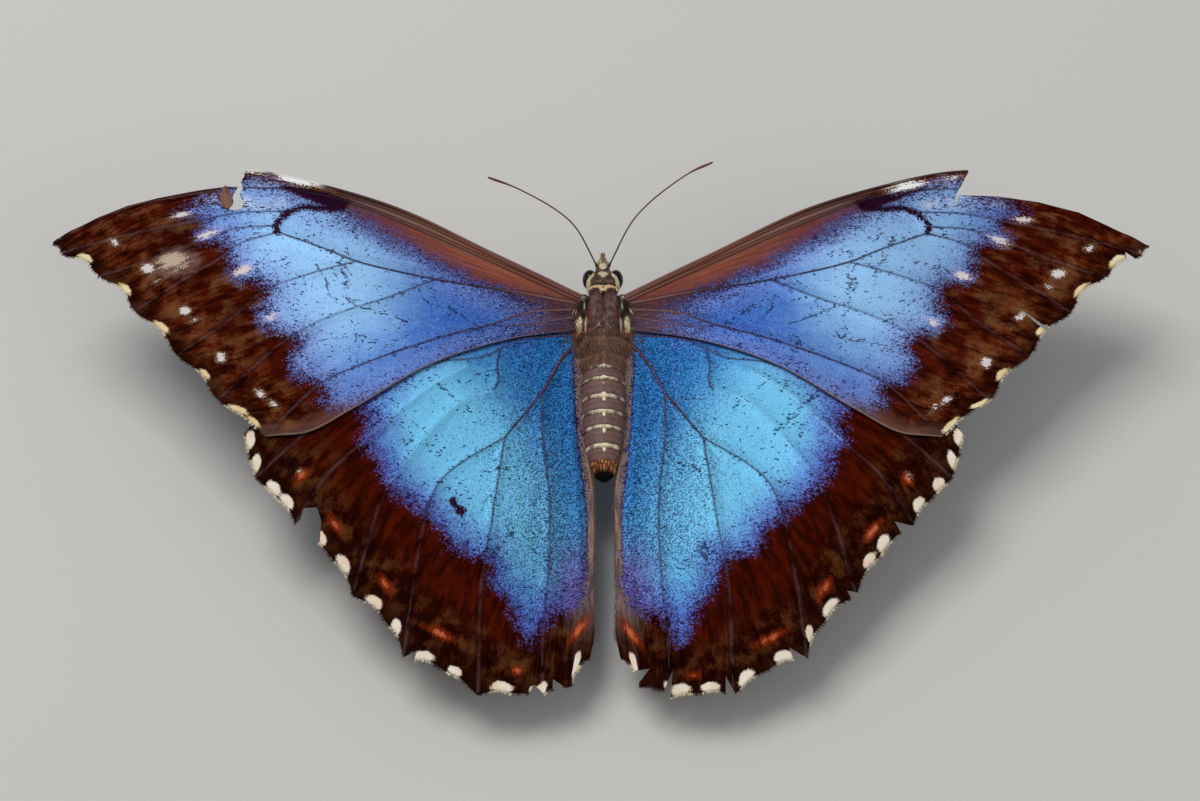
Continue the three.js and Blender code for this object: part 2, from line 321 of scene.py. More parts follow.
def curve_at(points, places):
    """A centripetal Catmull-Rom curve through the points, read at places counted in points."""
    points = np.array(points, float)
    places = np.asarray(places, float)
    padded = np.vstack([2 * points[0] - points[1], points, 2 * points[-1] - points[-2]])
    first = np.clip(places.astype(int), 0, len(points) - 2)
    share = (places - first)[:, None]
    p0, p1, p2, p3 = (padded[first + i] for i in range(4))
    d0, d1, d2 = (np.linalg.norm(b - a, axis=1)[:, None] ** 0.5 for a, b in ((p0, p1), (p1, p2), (p2, p3)))
    leaving = ((p1 - p0) / d0 - (p2 - p0) / (d0 + d1) + (p2 - p1) / d1) * d1
    arriving = ((p2 - p1) / d1 - (p3 - p1) / (d1 + d2) + (p3 - p2) / d2) * d1
    square = -3 * p1 + 3 * p2 - 2 * leaving - arriving
    cube = 2 * p1 - 2 * p2 + leaving + arriving
    return p1 + share * (leaving + share * (square + share * cube))


def even_curve(points, shares):
    """The same curve read at shares of its length."""
    places = np.linspace(0, len(points) - 1, 400)
    line = curve_at(points, places)
    run = np.concatenate([[0], np.cumsum(np.linalg.norm(np.diff(line, axis=0), axis=1))])
    return curve_at(points, np.interp(shares, run / run[-1], places))


def margin_at(plan, shares):
    """The scalloped outer margin at shares from front to rear. Its hollows have a depth each, a sharpness
    and a share by which their middles stand out again as a tooth."""
    places = shares * (len(plan["vein_ends"]) - 1)
    depth = np.interp(places, np.arange(len(plan["hollow depths"])) + 0.5, plan["hollow depths"])
    sharpness, mid_tooth = plan["scallop"]
    wave = np.abs(np.sin(pi * places))
    step = 0.01
    tangent = curve_at(plan["vein_ends"], places + step) - curve_at(plan["vein_ends"], places - step)
    tangent /= np.linalg.norm(tangent, axis=1)[:, None]
    inward = np.stack([tangent[:, 1], -tangent[:, 0]], 1)
    hollow = depth * (wave**sharpness - mid_tooth * wave**6)
    return curve_at(plan["vein_ends"], places) + inward * hollow[:, None], -inward


def wing_spot(plan, out, back):
    """Where shares out and back of a wing lie in its plan: across and forward, in millimetres."""
    root = np.array(plan["root"], float)
    tip, heel = np.array(plan["vein_ends"][0], float), np.array(plan["vein_ends"][-1], float)
    front = even_curve([root[0], *plan["leading"], tip], out)
    rear = even_curve([root[1], *plan["trailing"], heel], out)
    margin = margin_at(plan, back)[0]
    out, back = out[:, None], back[:, None]
    at_root = root[0] + (root[1] - root[0]) * back
    at_margin = tip + (heel - tip) * back
    return (
        front + (rear - front) * back + (at_root + (margin - at_root) * out)
        - (at_root + (at_margin - at_root) * out)
    )


for name, plan in (("fore", FOREWING), ("hind", HINDWING)):
    far_end = wing_spot(plan, np.array([1.0]), np.array([0.0]))[0]
    print("the", name, "wing reaches from", plan["root"][0], "to", far_end.round(1))

# %% [markdown]
# The veins hold the sheet up and carry the pattern: each is drawn once, as a path in the plan with its
# half-thickness at both ends and how dark it is, and serves as a raised tube, as a ridge that the sheet
# drapes over, and as the line along which the blue scales have rubbed off.

# %% Veins
FORE_VEINS = {
    "subcosta": ([(2.5, 0.2), (12, 5.0), (20, 9.1), (28, 12.7), (36, 15.5), (42, 17.1)], 0.2, 0.08, 0.6),
    "radius": (
        [(2.6, -0.2), (12, 4.2), (20, 8.0), (28, 11.5), (33.5, 13.7), (38, 15), (44, 15.8), (50, 15.6),
         (56, 14.6), (62, 13.3), (68, 10.8), (73.2, 7.4)], 0.2, 0.07, 0.7,
    ),
    "cell end": (
        [(34.6, 14), (35.3, 13.1), (38.2, 12.9), (40.6, 12.9), (42.3, 12.1), (43.3, 11.1), (43.9, 10.2),
         (43.7, 9.1)], 0.05, 0.05, 1,
    ),
    "first media": (
        [(42.2, 12.3), (48.5, 12), (54, 10.8), (60, 9.4), (66, 7.6), (72, 5.7)], 0.09, 0.06, 0.55,
    ),
    "second media": ([(43.8, 10), (49.5, 9.5), (55, 7.2), (61, 4.4), (66.9, 2)], 0.09, 0.06, 0.5),
    "third media": ([(43.6, 9), (48.8, 7.2), (51.5, 4.8), (57.5, 0.4), (62, -3.2)], 0.09, 0.06, 0.5),
    "cubitus": (
        [(2.8, -0.5), (12, 1), (22.4, 2.5), (33, 4.7), (37, 6.4), (43.6, 9)], 0.28, 0.1, 0.85,
    ),
    "first cubital": ([(33, 4.7), (39, 2.7), (45, 0.1), (49.5, -4.5), (56, -9.8)], 0.09, 0.05, 0.75),
    "second cubital": ([(22.4, 2.5), (29, -0.7), (35.5, -3.3), (41, -6.5), (50.4, -16.2)], 0.09, 0.05, 0.75),
    "anal": (
        [(3, -1.2), (10, -2.1), (15, -4.2), (21, -6.2), (32, -10.7), (37, -13.5), (43.9, -21.3)],
        0.2, 0.08, 0.8,
    ),
    "second anal": ([(3, -2.2), (8, -3.4), (12.5, -4.3), (14.6, -4.3)], 0.12, 0.08, 0.6),
}
HIND_VEINS = {
    "subcosta": ([(3, -4), (9, -3.6), (20, -6), (33, -11.6), (42, -17.2), (46.7, -20.9)], 0.2, 0.07, 0.5),
    "sector": (
        [(3.2, -4.8), (10.8, -5.8), (13.6, -7.4), (16, -8.8), (21.5, -9.8), (27, -11.8), (36, -18),
         (45, -27)],
        0.17, 0.05, 0.45,
    ),
    "cross-vein": ([(13.6, -7.4), (14.1, -9.8), (13.9, -12.2), (14.4, -13.6)], 0.13, 0.09, 1),
    "stem": (
        [(3.1, -5.5), (5, -7.7), (6.5, -10.2), (7.7, -12.9), (10.2, -16.6), (13, -20.5)], 0.36, 0.13, 0.75,
    ),
    "first media": ([(18.2, -10.3), (24.1, -14.3), (31, -21.5), (36, -26.9), (39.7, -33.5)], 0.05, 0.05, 0),
    "second media": ([(14.4, -13.6), (19, -15.6), (25.2, -23.4), (28.4, -29), (32, -42.9)], 0.05, 0.05, 0),
    "first cubital": (
        [(13, -20.5), (18.7, -24.4), (21.4, -27.2), (22.9, -31.3), (24.3, -40), (25.5, -51.8)],
        0.1, 0.05, 0.9,
    ),
    "second cubital": ([(13, -20.5), (13.8, -26.5), (14.8, -34), (15.8, -41), (16.1, -56.4)], 0.1, 0.05, 0.9),
    "anal": ([(8.1, -14), (8, -20.6), (7.1, -29.2), (7.3, -40), (8, -48), (8, -56.6)], 0.11, 0.06, 0.8),
    "inner anal": (
        [(3.2, -6.6), (4.3, -12), (4.2, -20), (3.4, -30), (3.2, -42), (4.3, -55)], 0.08, 0.05, 0.3,
    ),
}
FOREWING["veins"] = FORE_VEINS
HINDWING["veins"] = HIND_VEINS


def vein_line(path, spacing=0.4):
    """A vein's path as close points an even distance apart."""
    length = sum(np.linalg.norm(np.subtract(b, a)) for a, b in zip(path, path[1:]))
    return even_curve(path, np.linspace(0, 1, max(4, int(length / spacing))))


def distance_to(points, line, closed=False):
    """Each point's distance from a line of short straight steps."""
    ends = np.roll(line, -1, axis=0) if closed else line[1:]
    starts = line if closed else line[:-1]
    nearest = np.full(len(points), np.inf)
    for start, end in zip(starts, ends):
        run = end - start
        share = held((points - start) @ run / max(run @ run, 1e-12))
        nearest = np.minimum(nearest, np.linalg.norm(points - start - share[:, None] * run, axis=1))
    return nearest


def inside(points, line):
    """True for each point inside a closed line."""
    count = np.zeros(len(points), bool)
    for (x0, y0), (x1, y1) in zip(line, np.roll(line, -1, axis=0)):
        between = (points[:, 1] < y0) != (points[:, 1] < y1)
        across = x0 + (points[:, 1] - y0) * (x1 - x0) / (y1 - y0 if y1 != y0 else 1e-9)
        count ^= between & (points[:, 0] < across)
    return count


def depth_within(points, outline):
    """How deep each point lies inside a smooth closed outline, and below zero outside it."""
    ring = [*outline, outline[0]]
    line = curve_at(ring, np.linspace(0, len(ring) - 1, 4 * len(ring)))[:-1]
    away = distance_to(points, line, closed=True)
    return np.where(inside(points, line), away, -away)


def vein_distance(plan, points, darkest=0):
    """Each point's distance from the nearest vein that is at least so dark."""
    lines = (vein_line(path, 0.8) for path, _, _, dark in plan["veins"].values() if dark >= darkest)
    return np.min([distance_to(points, line) for line in lines], axis=0)


print("the fore wing has", len(FORE_VEINS), "veins and the hind wing", len(HIND_VEINS))

# %% [markdown]
# Both wings bow gently upwards from the body. The sheet is pleated: it stands a little proud at each vein,
# sinks between them, and flutters along the margin. One height rule serves everything that lies on a wing.


# %% The wing's height
def wing_height(plan, points, from_vein, out):
    across, forward = points.T
    bow = 0.11 * across - 0.0009 * across**2
    swell = 0.22 * np.sin(0.19 * across + 1) * np.sin(0.21 * forward + 0.5) * held(across / 20)
    pleat = 0.12 * np.exp(-((from_vein / 0.8) ** 2)) - 0.06
    flutter = 0.16 * np.sin(1.1 * across - 0.9 * forward) * held((out - 0.86) / 0.14) ** 2
    return bow + swell + pleat + flutter + plan["layer"]


# %% [markdown]
# This is an old insect, and its damage is part of its likeness: bites out of both wing tips, a slit, and
# broken teeth along the hind margins. Each is an outline in the plan. The sheet is cut along the outline's
# sides with bisect_plane and the faces inside are deleted, so a torn edge is as sharp as a real one.

# %% Tears and nicks
TEARS = {
    "forewing_left": [
        (48.3, 26), (48.5, 17.6), (48.9, 16.8), (48.6, 15.7), (49, 14.8), (48.4, 13.7), (48.6, 12.5),
        (49.6, 12.3), (50.4, 12.5), (49.8, 13.6), (49.9, 14.6), (49.3, 15.9), (50.8, 15.9), (54.5, 15.3),
        (60, 14.1), (64, 12.9), (67.7, 11.1), (70.6, 9.4), (73.2, 7.7), (80, 8), (80, 26),
    ],
    "forewing_right": [
        (49.9, 26), (49.7, 18.5), (48.5, 16.2), (47.9, 15.1), (47.5, 12.8), (48.2, 14.9), (53.5, 14.6),
        (59, 13.7), (64.3, 12.1), (69.5, 9.2), (73.2, 7.1), (80, 8), (80, 26),
    ],
    "hindwing_left": [
        (40.6, -34.6), (39.2, -33), (38.8, -31.5), (37.1, -31.3), (36.5, -33.2), (36.6, -36.4), (38.6, -39),
    ],
}
# place along the margin in vein ends, half width and depth
NICKS = {
    "forewing_right": [(1.3, 0.5, 1), (3.45, 0.3, 5.4)],
    "hindwing_left": [(4.06, 0.6, 1.5), (5.9, 1.1, 1.5), (6.6, 0.7, 1.3)],
    "hindwing_right": [
        (2.1, 0.8, 1.8), (3.02, 0.7, 1.3), (4.08, 0.7, 2), (5.05, 0.6, 2.4), (6.1, 0.5, 3.4), (7.3, 0.7, 1.8),
    ],
}


def nick_outline(plan, place, half_width, depth):
    """A thin triangle with its point inside the margin and its base just outside."""
    share = np.array([place / (len(plan["vein_ends"]) - 1)])
    edge, outward = (found[0] for found in margin_at(plan, share))
    along = np.array([-outward[1], outward[0]])
    base = along * half_width * (1 + 1 / depth)
    return [tuple(edge - outward * depth), tuple(edge + outward + base), tuple(edge + outward - base)]


def damage_of(name, plan):
    """Every outline that is missing from one wing."""
    outlines = [nick_outline(plan, *nick) for nick in NICKS.get(name, [])]
    if name in TEARS:
        outlines.append(TEARS[name])
    return outlines


def untorn(spots, outlines):
    """True for each place that none of the outlines has taken away."""
    gone = [inside(spots, np.array(outline)) for outline in outlines]
    return ~np.any(gone, axis=0) if gone else np.ones(len(spots), bool)


def cut_away(bm, outline):
    """Cuts the sheet along an outline's sides and deletes what is inside it."""
    corners = [Vector((*corner, 0)) for corner in outline]
    reach = 1.2
    for start, end in zip(corners, corners[1:] + corners[:1]):
        run = end - start
        low = Vector([min(pair) - reach for pair in zip(start, end)])
        high = Vector([max(pair) + reach for pair in zip(start, end)])
        faces = []
        for face in bm.faces:
            middle = face.verts[0].co
            if low.x < middle.x < high.x and low.y < middle.y < high.y:
                if abs((middle - start).cross(run).z) < reach * run.length:
                    faces.append(face)
        edges = {edge for face in faces for edge in face.edges}
        verts = {vert for face in faces for vert in face.verts}
        plane = run.cross(Vector((0, 0, 1)))
        if faces:
            bmesh.ops.bisect_plane(
                bm, geom=[*verts, *edges, *faces], dist=1e-4, plane_co=start, plane_no=plane
            )
    ring = np.array(outline, float)
    faces = list(bm.faces)
    middles = np.array([face.calc_center_median()[:2] for face in faces])
    lost = [face for face, gone in zip(faces, inside(middles, ring)) if gone]
    bmesh.ops.delete(bm, geom=lost, context="FACES")
    return len(lost)


# %% [markdown]
# The sheet itself starts as a flat grid. Its corners' shares are kept as two layers, which bisect_plane
# carries over to the vertices it adds, so the markings can still be worked out after the cuts.


# %% A wing's flat sheet
def flat_sheet(name, plan):
    """The undraped sheet of a wing, cut to its outline, with each vertex's shares out and back."""
    bm = bmesh.new()
    bmesh.ops.create_grid(bm, x_segments=plan["steps"][0], y_segments=plan["steps"][1], size=0.5)
    out_layer = bm.verts.layers.float.new("out")
    back_layer = bm.verts.layers.float.new("back")
    grid = np.array([vert.co for vert in bm.verts])
    out, back = held(grid[:, 0] + 0.5), held(0.5 - grid[:, 1])
    for vert, spot, o, b in zip(bm.verts, wing_spot(plan, out, back), out, back):
        vert.co = (*spot, 0)
        vert[out_layer] = o
        vert[back_layer] = b
    cut = sum(cut_away(bm, outline) for outline in damage_of(name, plan))
    loose = [vert for vert in bm.verts if not vert.link_faces]
    bmesh.ops.delete(bm, geom=loose, context="VERTS")
    mesh = as_mesh(bm, name)
    print(name, "lost", cut, "faces to its tears")
    return mesh


# %% [markdown]
# Markings are worked out where the pattern is simple to say: a closed outline for the blue field, ovals for
# the spots, places along the margin for the cream crescents. Each is stored in the mesh as a distance in
# millimetres, and the finish turns the distance into a colour with a soft, speckled edge. Distances pass
# smoothly from vertex to vertex, so an edge stays sharp on a fairly coarse mesh.

# %% The pattern of the wings
FOREWING["blue"] = [
    (1, -0.6), (7, 0.2), (13, 1.5), (18, 3.6), (23, 6.4), (28, 9.4), (32, 11.8), (35, 13.2), (39, 14.6),
    (43, 16.6), (48.5, 17.4), (51.5, 15.4), (55, 14.2), (58.2, 11.9), (57.4, 10.8), (54.6, 10.2),
    (55.8, 8.3), (54.4, 6.7), (51.4, 6.3), (50.7, 4), (50.4, 1.8), (48.6, 0.4), (46, 0.3), (45.6, -1),
    (46.9, -3.4), (46, -6), (43.5, -7.2), (41.5, -7.6), (42.2, -10), (41.7, -12.4), (39.6, -14.2),
    (37.6, -14.6), (38.2, -16.4), (36, -18.4), (32, -18.6), (24, -13), (14, -8.4), (3, -5.5),
]
HINDWING["blue"] = [
    (3, -3), (12, -2), (24, -6), (30, -12), (32.6, -16.5), (31.9, -19), (32.7, -22), (31, -24.6),
    (30.3, -27), (28.6, -29.4), (26.4, -31.2), (24, -33), (22, -35.2), (20.4, -37.6), (18, -39),
    (15.8, -39.6), (15.3, -42.4), (12.9, -44.2), (11.2, -46.6), (9.8, -49), (8.5, -46.6), (6.5, -44.8),
    (4.4, -44.4), (2.8, -42), (2.2, -38), (2.1, -32), (2.6, -27), (3.3, -21), (3.7, -14), (3.9, -9),
]
# ovals: across, forward, half length, half width and the heading of the length in degrees
FOREWING["white ovals"] = [
    (56.9, 11.4, 1.3, 0.5, -12), (53.3, 8.3, 1.7, 0.65, -22), (48.2, 2.9, 1.4, 0.75, -30),
    (44, -4.3, 1.1, 0.55, -38), (65.4, 6.9, 0.9, 0.6, 25), (60.9, 3, 1.1, 0.8, 20),
    (55.5, -3.5, 0.9, 0.75, 35), (50.5, -10.4, 0.9, 0.8, 60), (45.1, -15.7, 1.0, 0.6, 40),
    (43.4, -17, 0.8, 0.45, 50), (41.4, 16.8, 3.1, 0.75, 13), (47.6, 18, 1.7, 0.35, 6),
    (59.6, 1.1, 0.7, 0.35, -30), (54.3, -5, 0.6, 0.3, -40),
]
FOREWING["orange ovals"] = []
FOREWING["frosted"] = [(45.4, 16.7, 3.6, 1.1, 6), (51.5, 14.3, 3.2, 1.0, -8), (46.5, 13.6, 3.6, 1.0, 0)]
FOREWING["dark outline"] = [
    (34.4, 14.2), (37.5, 15.3), (40.6, 16), (43.6, 16.1), (41.4, 15.1), (39.4, 14.3), (37.8, 13.5),
    (36.4, 12.9), (35.2, 12.7), (34.4, 13.4),
]
FOREWING["crescents"] = [1.5, 2.5, 3.5, 4.5, 5.25, 5.7]
FOREWING["crescent size"] = (1.45, 0.5, 0.3)
# the oval where the blue is lighter and carries a painted sheen: across, forward, half width, half length,
# heading
FOREWING["brightest"] = (38.5, 5, 12.5, 16, 80)
FOREWING["eyespots"] = [(52.5, 8.2, 1.9), (48.5, 0.2, 3.1), (44.2, -8.6, 2.9), (40, -14, 1.5)]
# rows of scales knocked off by something sharp: where each scratch starts and ends
FOREWING["scratches"] = [
    (33.9, 6.9, 32.2, -7.5), (34.8, 6.2, 33.6, -1.2), (37.5, 9.6, 42.5, 4.4), (38.6, 14.2, 36.9, 7.5),
    (38, 5.2, 35.6, -0.8), (31, -2.2, 25.5, -4.2), (24.5, 1.6, 21.8, -3.4), (36.5, -7.2, 31, -6.6),
    (20.5, -1.4, 16, -4.6), (29, -8.4, 25, -6.2), (45.5, 12.8, 50.5, 13.4), (44.5, 6.1, 46, 2.6),
]
FOREWING["inner side"] = 1.2

HINDWING["white ovals"] = [(39.6, -26.5, 0.6, 0.4, -60)]
HINDWING["orange ovals"] = [
    (39.4, -27, 1.1, 0.7, -60), (34.8, -34, 1.5, 0.62, 58), (28.2, -42.1, 1.5, 0.66, 60),
    (21.1, -48.8, 2.1, 0.6, 26), (11.3, -53.6, 0.9, 0.5, 5), (3.4, -47.6, 2.2, 0.62, -58),
]
HINDWING["frosted"] = []
HINDWING["dark outline"] = [
    (17.9, -31), (18.3, -32), (19.4, -30.9), (20.1, -29.6), (19.5, -29.3), (18.8, -30.4),
]
HINDWING["crescents"] = [0.2, 0.72, 1.27, 1.7, 2.3, 2.68, 3.26, 3.7, 4.26, 4.7, 5.36, 5.84, 7.4]
HINDWING["crescent size"] = (1.35, 0.78, 0.52)
# the hind wing's oval of lighter blue with its painted sheen
HINDWING["brightest"] = (19, -23.5, 9.8, 23, 60)
HINDWING["eyespots"] = [
    (33, -15.5, 3.6), (29, -31, 1.9), (23.4, -36.6, 3), (18.3, -42.5, 3.3), (11.4, -45.8, 2.2),
]
HINDWING["scratches"] = [
    (27.8, -11.4, 23.4, -14.2), (28.6, -14.4, 22.5, -20.6), (25.5, -9.5, 26.8, -12.2), (22, -12.6, 17, -16.6),
    (16, -31.2, 12, -27.5), (27.5, -18, 24.6, -22.4), (9.8, -24.2, 13.2, -25.2), (11, -33, 14, -37.6),
]
HINDWING["inner side"] = 12.0
WORN_PATCH = (57.3, 4.4, 2.6, 1.9, -20)
FAR = 9.0  # no finish looks further than this


def depth_in_oval(points, oval):
    """How deep each point lies inside an oval, in millimetres near its rim."""
    across, forward, half_length, half_width, heading = oval
    turn = radians(heading)
    x, y = points[:, 0] - across, points[:, 1] - forward
    along = (x * cos(turn) + y * sin(turn)) / half_length
    beside = (y * cos(turn) - x * sin(turn)) / half_width
    return (1 - np.hypot(along, beside)) * half_width


def deepest(depths, points):
    return np.max([*depths, np.full(len(points), -FAR)], axis=0)


def wing_fields(plan, side, points, out, back):
    """Everything that a wing's finishes read, for points of its plan."""
    cells = len(plan["vein_ends"]) - 1
    seed = 7 * side + (3 if plan is FOREWING else 0)
    margin = margin_at(plan, np.linspace(0, 1, 50 * cells))[0]
    near = out > 0.72
    inset = np.full(len(points), FAR)
    inset[near] = np.minimum(FAR, distance_to(points[near], margin))
    leading = even_curve([plan["root"][0], *plan["leading"], plan["vein_ends"][0]], np.linspace(0, 1, 90))
    from_vein = vein_distance(plan, points)
    from_dark_vein = vein_distance(plan, points, darkest=0.4)

    blue = depth_within(points, plan["blue"])
    inner = held((9 - points[:, 0]) / 4) * held((points[:, 1] + 41) / 6)
    blue = np.where(blue > 0, blue * (1 + (plan["inner side"] - 1) * inner), blue)
    costal_side = held((points[:, 1] - 0.42 * points[:, 0] + 6) / 3) * held((37 - points[:, 0]) / 5)
    blue -= plan["blue inset"] * held((out - 0.5) / 0.15) * held((back - 0.1) / 0.15)
    blue += 1.8 * held((-34 - points[:, 1]) / 6) * held((15 - points[:, 0]) / 5)
    if plan is FOREWING:
        blue = blue / (1 + 2 * costal_side)

    cell_length = np.linalg.norm(np.diff(np.array(plan["vein_ends"], float), axis=0), axis=1)
    place = back * cells
    mm_per_place = cell_length[np.clip(place.astype(int), 0, cells - 1)]
    half_length, half_depth, middle_inset = plan["crescent size"]
    rng = np.random.default_rng(seed + 40)
    crescents = []
    for middle in plan["crescents"]:
        long, deep, shift = rng.uniform(0.72, 1.2), rng.uniform(0.8, 1.15), rng.normal(0, 0.05)
        along = (place - middle - shift) * mm_per_place / (half_length * long)
        depth = (inset - middle_inset) / (half_depth * deep)
        crescents.append((1 - np.hypot(along, depth)) * half_depth)
    shifted = points + (np.array([0.1, 0.35]) if side > 0 else np.array([0.1, -0.3]))
    white = deepest([*(depth_in_oval(shifted, oval) for oval in plan["white ovals"]), *crescents], points)
    orange = deepest([depth_in_oval(shifted, oval) for oval in plan["orange ovals"]], points)
    dark = depth_within(points, plan["dark outline"])
    worn = np.full(len(points), -FAR)
    if plan is FOREWING:
        hook = distance_to(points, vein_line(FORE_VEINS["cell end"][0], 0.3))
        dark = np.maximum(dark, 0.42 - hook)
        if side < 0:
            worn = depth_in_oval(points, WORN_PATCH)
    elif side > 0:
        dark = np.full(len(points), -FAR)

    # lighter blue with a painted sheen, strongest mid-oval; the frosted ovals are set to 2 in the same field
    middle_x, middle_y, narrow, wide, heading = plan["brightest"]
    beam = depth_in_oval(points, (middle_x, middle_y, wide, narrow, heading))
    sheen_and_frost = np.exp(-((1 - beam / narrow) ** 2))
    frosted = deepest([depth_in_oval(points, oval) for oval in plan["frosted"]], points)
    frosted = held(frosted + 0.6)
    sheen_and_frost = sheen_and_frost * (1 - frosted) + 2 * frosted
    wander = 0.35 * np.sin(1.7 * points[:, 1] + 2.1 * side) + 0.2 * np.sin(3.1 * points[:, 0] + points[:, 1])
    scratched = points + np.column_stack([wander + 0.5 * side, 0.6 * wander])
    scratches = [np.array([(a, b), (c, d)]) for a, b, c, d in plan["scratches"]]
    scratch = np.min([distance_to(scratched, line) for line in scratches], axis=0)
    rings = []
    for across, forward, radius in plan["eyespots"]:
        rings.append(np.hypot(points[:, 0] - across, points[:, 1] - forward) / radius)
    eyespot = np.min(rings, axis=0)
    count = len(points)
    return {
        "plan": np.stack([points[:, 0], points[:, 1], np.full(count, seed)], 1),
        "grain": np.stack([out * 9, place * 5, np.full(count, seed)], 1),
        "lines": np.stack([from_vein, inset, distance_to(points, leading)], 1),
        "worn": np.stack([worn, np.minimum(scratch, FAR), costal_side], 1),
        "marks": np.stack([white, orange, dark], 1),
        "field": np.stack([blue, sheen_and_frost, from_dark_vein], 1),
        "under": np.stack([np.minimum(eyespot, 4), out, back], 1),
    }


print(
    "the fore wing has", len(FOREWING["white ovals"]), "white ovals and",
    len(FOREWING["crescents"]), "crescents",
)

# %% [markdown]
# The upper finish of a wing builds up as the scales do. Brown ground scales come first, clouded with ochre.
# The blue field lies over them, paler in mid wing, where a painted sheen is laid over the scales' own lighter
# blue, ending in a violet rim, and lets dark ground scales through near the body and along the veins. The
# spots come last. Blue scales are tiny mirrors, so the blue is partly metallic, while the brown is matt.


# %% Upper finish of the wings
def brown_ground(finish, look, inset, from_vein, by_spot, noises):
    """Dark brown, redder by the blue, clouded with ochre by the spots, with vein streaks partly a painted
    sheen.
    """
    fine, coarse, streaks = noises
    cloud = coarse * 0.6 + streaks * 0.75 + fine * 0.2
    ground = finish.blend((cloud - 0.76).past(0, 0.16), look["dark"], look["brown"])
    inward = (inset + (coarse - 0.5) * 3).past(6.2, 2.2)
    red = finish.blend(streaks.past(0.52, 0.16), look["red"][0], look["red"][1])
    ground = finish.blend(inward * 0.85, ground, red)
    ochre = (streaks * 0.7 + coarse + fine * 0.3).past(1.1, 0.16)
    ground = finish.blend((by_spot + 2.6).past(0, 2.4) * ochre * 0.75, ground, look["ochre"])
    ground = finish.blend((1 - inset.past(1.8, 1.7)) * 0.75, ground, "200702")
    beside_vein = 1 - (from_vein - 0.32).size().past(0.16, 0.12)
    ground = finish.blend(beside_vein * 0.45, ground, "120402")
    # mauve-grey streaks on the veins, partly the veins' own grey scales and partly a painted sheen along the
    # folds
    vein_streak_and_sheen = (1 - from_vein.past(0.2, 0.2)) * (streaks + coarse * 0.4).past(0.7, 0.14)
    return finish.blend(vein_streak_and_sheen * 0.45, ground, "64484E")


def blue_sheet(finish, look, place, across, blue, sheen_and_frost, any_vein, from_vein, scratch, noises):
    """The scales of the blue field, with violet on its rim and the dark ground showing through in grains."""
    fine, coarse, streaks = noises
    # lighter blue with a painted sheen in mid wing, deep blue away from it
    light = (sheen_and_frost + (coarse - 0.5) * 0.3 + (streaks - 0.5) * 0.2).past(0.4, 0.38)
    sheet = finish.blend(light, look["deep"], look["bright"])
    frost = (sheen_and_frost - 1.0).past(0.45, 0.5) * (coarse + fine * 0.3).past(0.62, 0.2)
    sheet = finish.blend(frost, sheet, "DCE6F2")
    sheet = finish.blend((1 - blue.past(3.6, 3.6)) * look["lilac share"], sheet, look["lilac"])
    violet = finish.blend(fine.past(0.5, 0.2), "2C0F30", look["violet"])
    _, forward, _ = finish.parts(place)
    rimmed = across.past(4, 1.5).most(1 - forward.past(-38, 3))
    sheet = finish.blend((1 - blue.past(0.9, 1.5)) * rimmed * 0.9, sheet, violet)
    by_fold = (1 - across.past(6.5, 3)) * (1 - forward.past(-36, 4))
    sheet = finish.blend(by_fold * (fine * 0.6 + 0.45), sheet, "7058A0")
    small = finish.grains(place, 7.0)
    large = finish.grains(finish.stretched(place, (3.0, 5.4, 1), look["fleck heading"]), 1.0)
    body_side = (1 - across.past(*look["peppered to"])) * forward.past(-43, 8)
    rim = 1 - blue.past(2.8, 2.8)
    pepper = (small + body_side * 0.46 + rim * 0.3 + (coarse - 0.5) * 0.3).past(0.95, 0.26)
    sheet = finish.blend(pepper * (body_side * 0.4 + rim * 0.2 + 0.4), sheet, look["pepper"])
    glints = (small + fine * 0.4 - 0.3).past(0, 0.1) * -0.25 + 0.25
    sheet = finish.blend(glints, sheet, look["bright"])
    patchy = finish.noise(place, 0.3, detail=2.0).past(0.52, 0.1)
    dashes = finish.noise(place, 1.1, detail=1.0).past(0.5, 0.05)
    scored = (1 - scratch.past(0.1, 0.07)) * dashes
    by_vein = 1 - from_vein.past(0.35, 0.35)
    by_scratch = (1 - scratch.past(0.3, 0.3)) * patchy.most(0.4)
    lost = large + fine * 0.34 + patchy * 0.1 + by_vein * 0.12 + by_scratch * 0.34 + rim * 0.12
    sheet = finish.blend(lost.past(1.19, 0.03).most(scored) * 0.85, sheet, "161238")
    pale_vein = (1 - any_vein.past(0.1, 0.06)) * from_vein.past(0.6, 0.2) * across.past(11, 2)
    sheet = finish.blend(pale_vein * (coarse + fine * 0.4).past(0.7, 0.1) * 0.4, sheet, "B4D8F4")
    return finish.blend((1 - from_vein.past(0.2, 0.12)) * 0.45, sheet, "241A48")


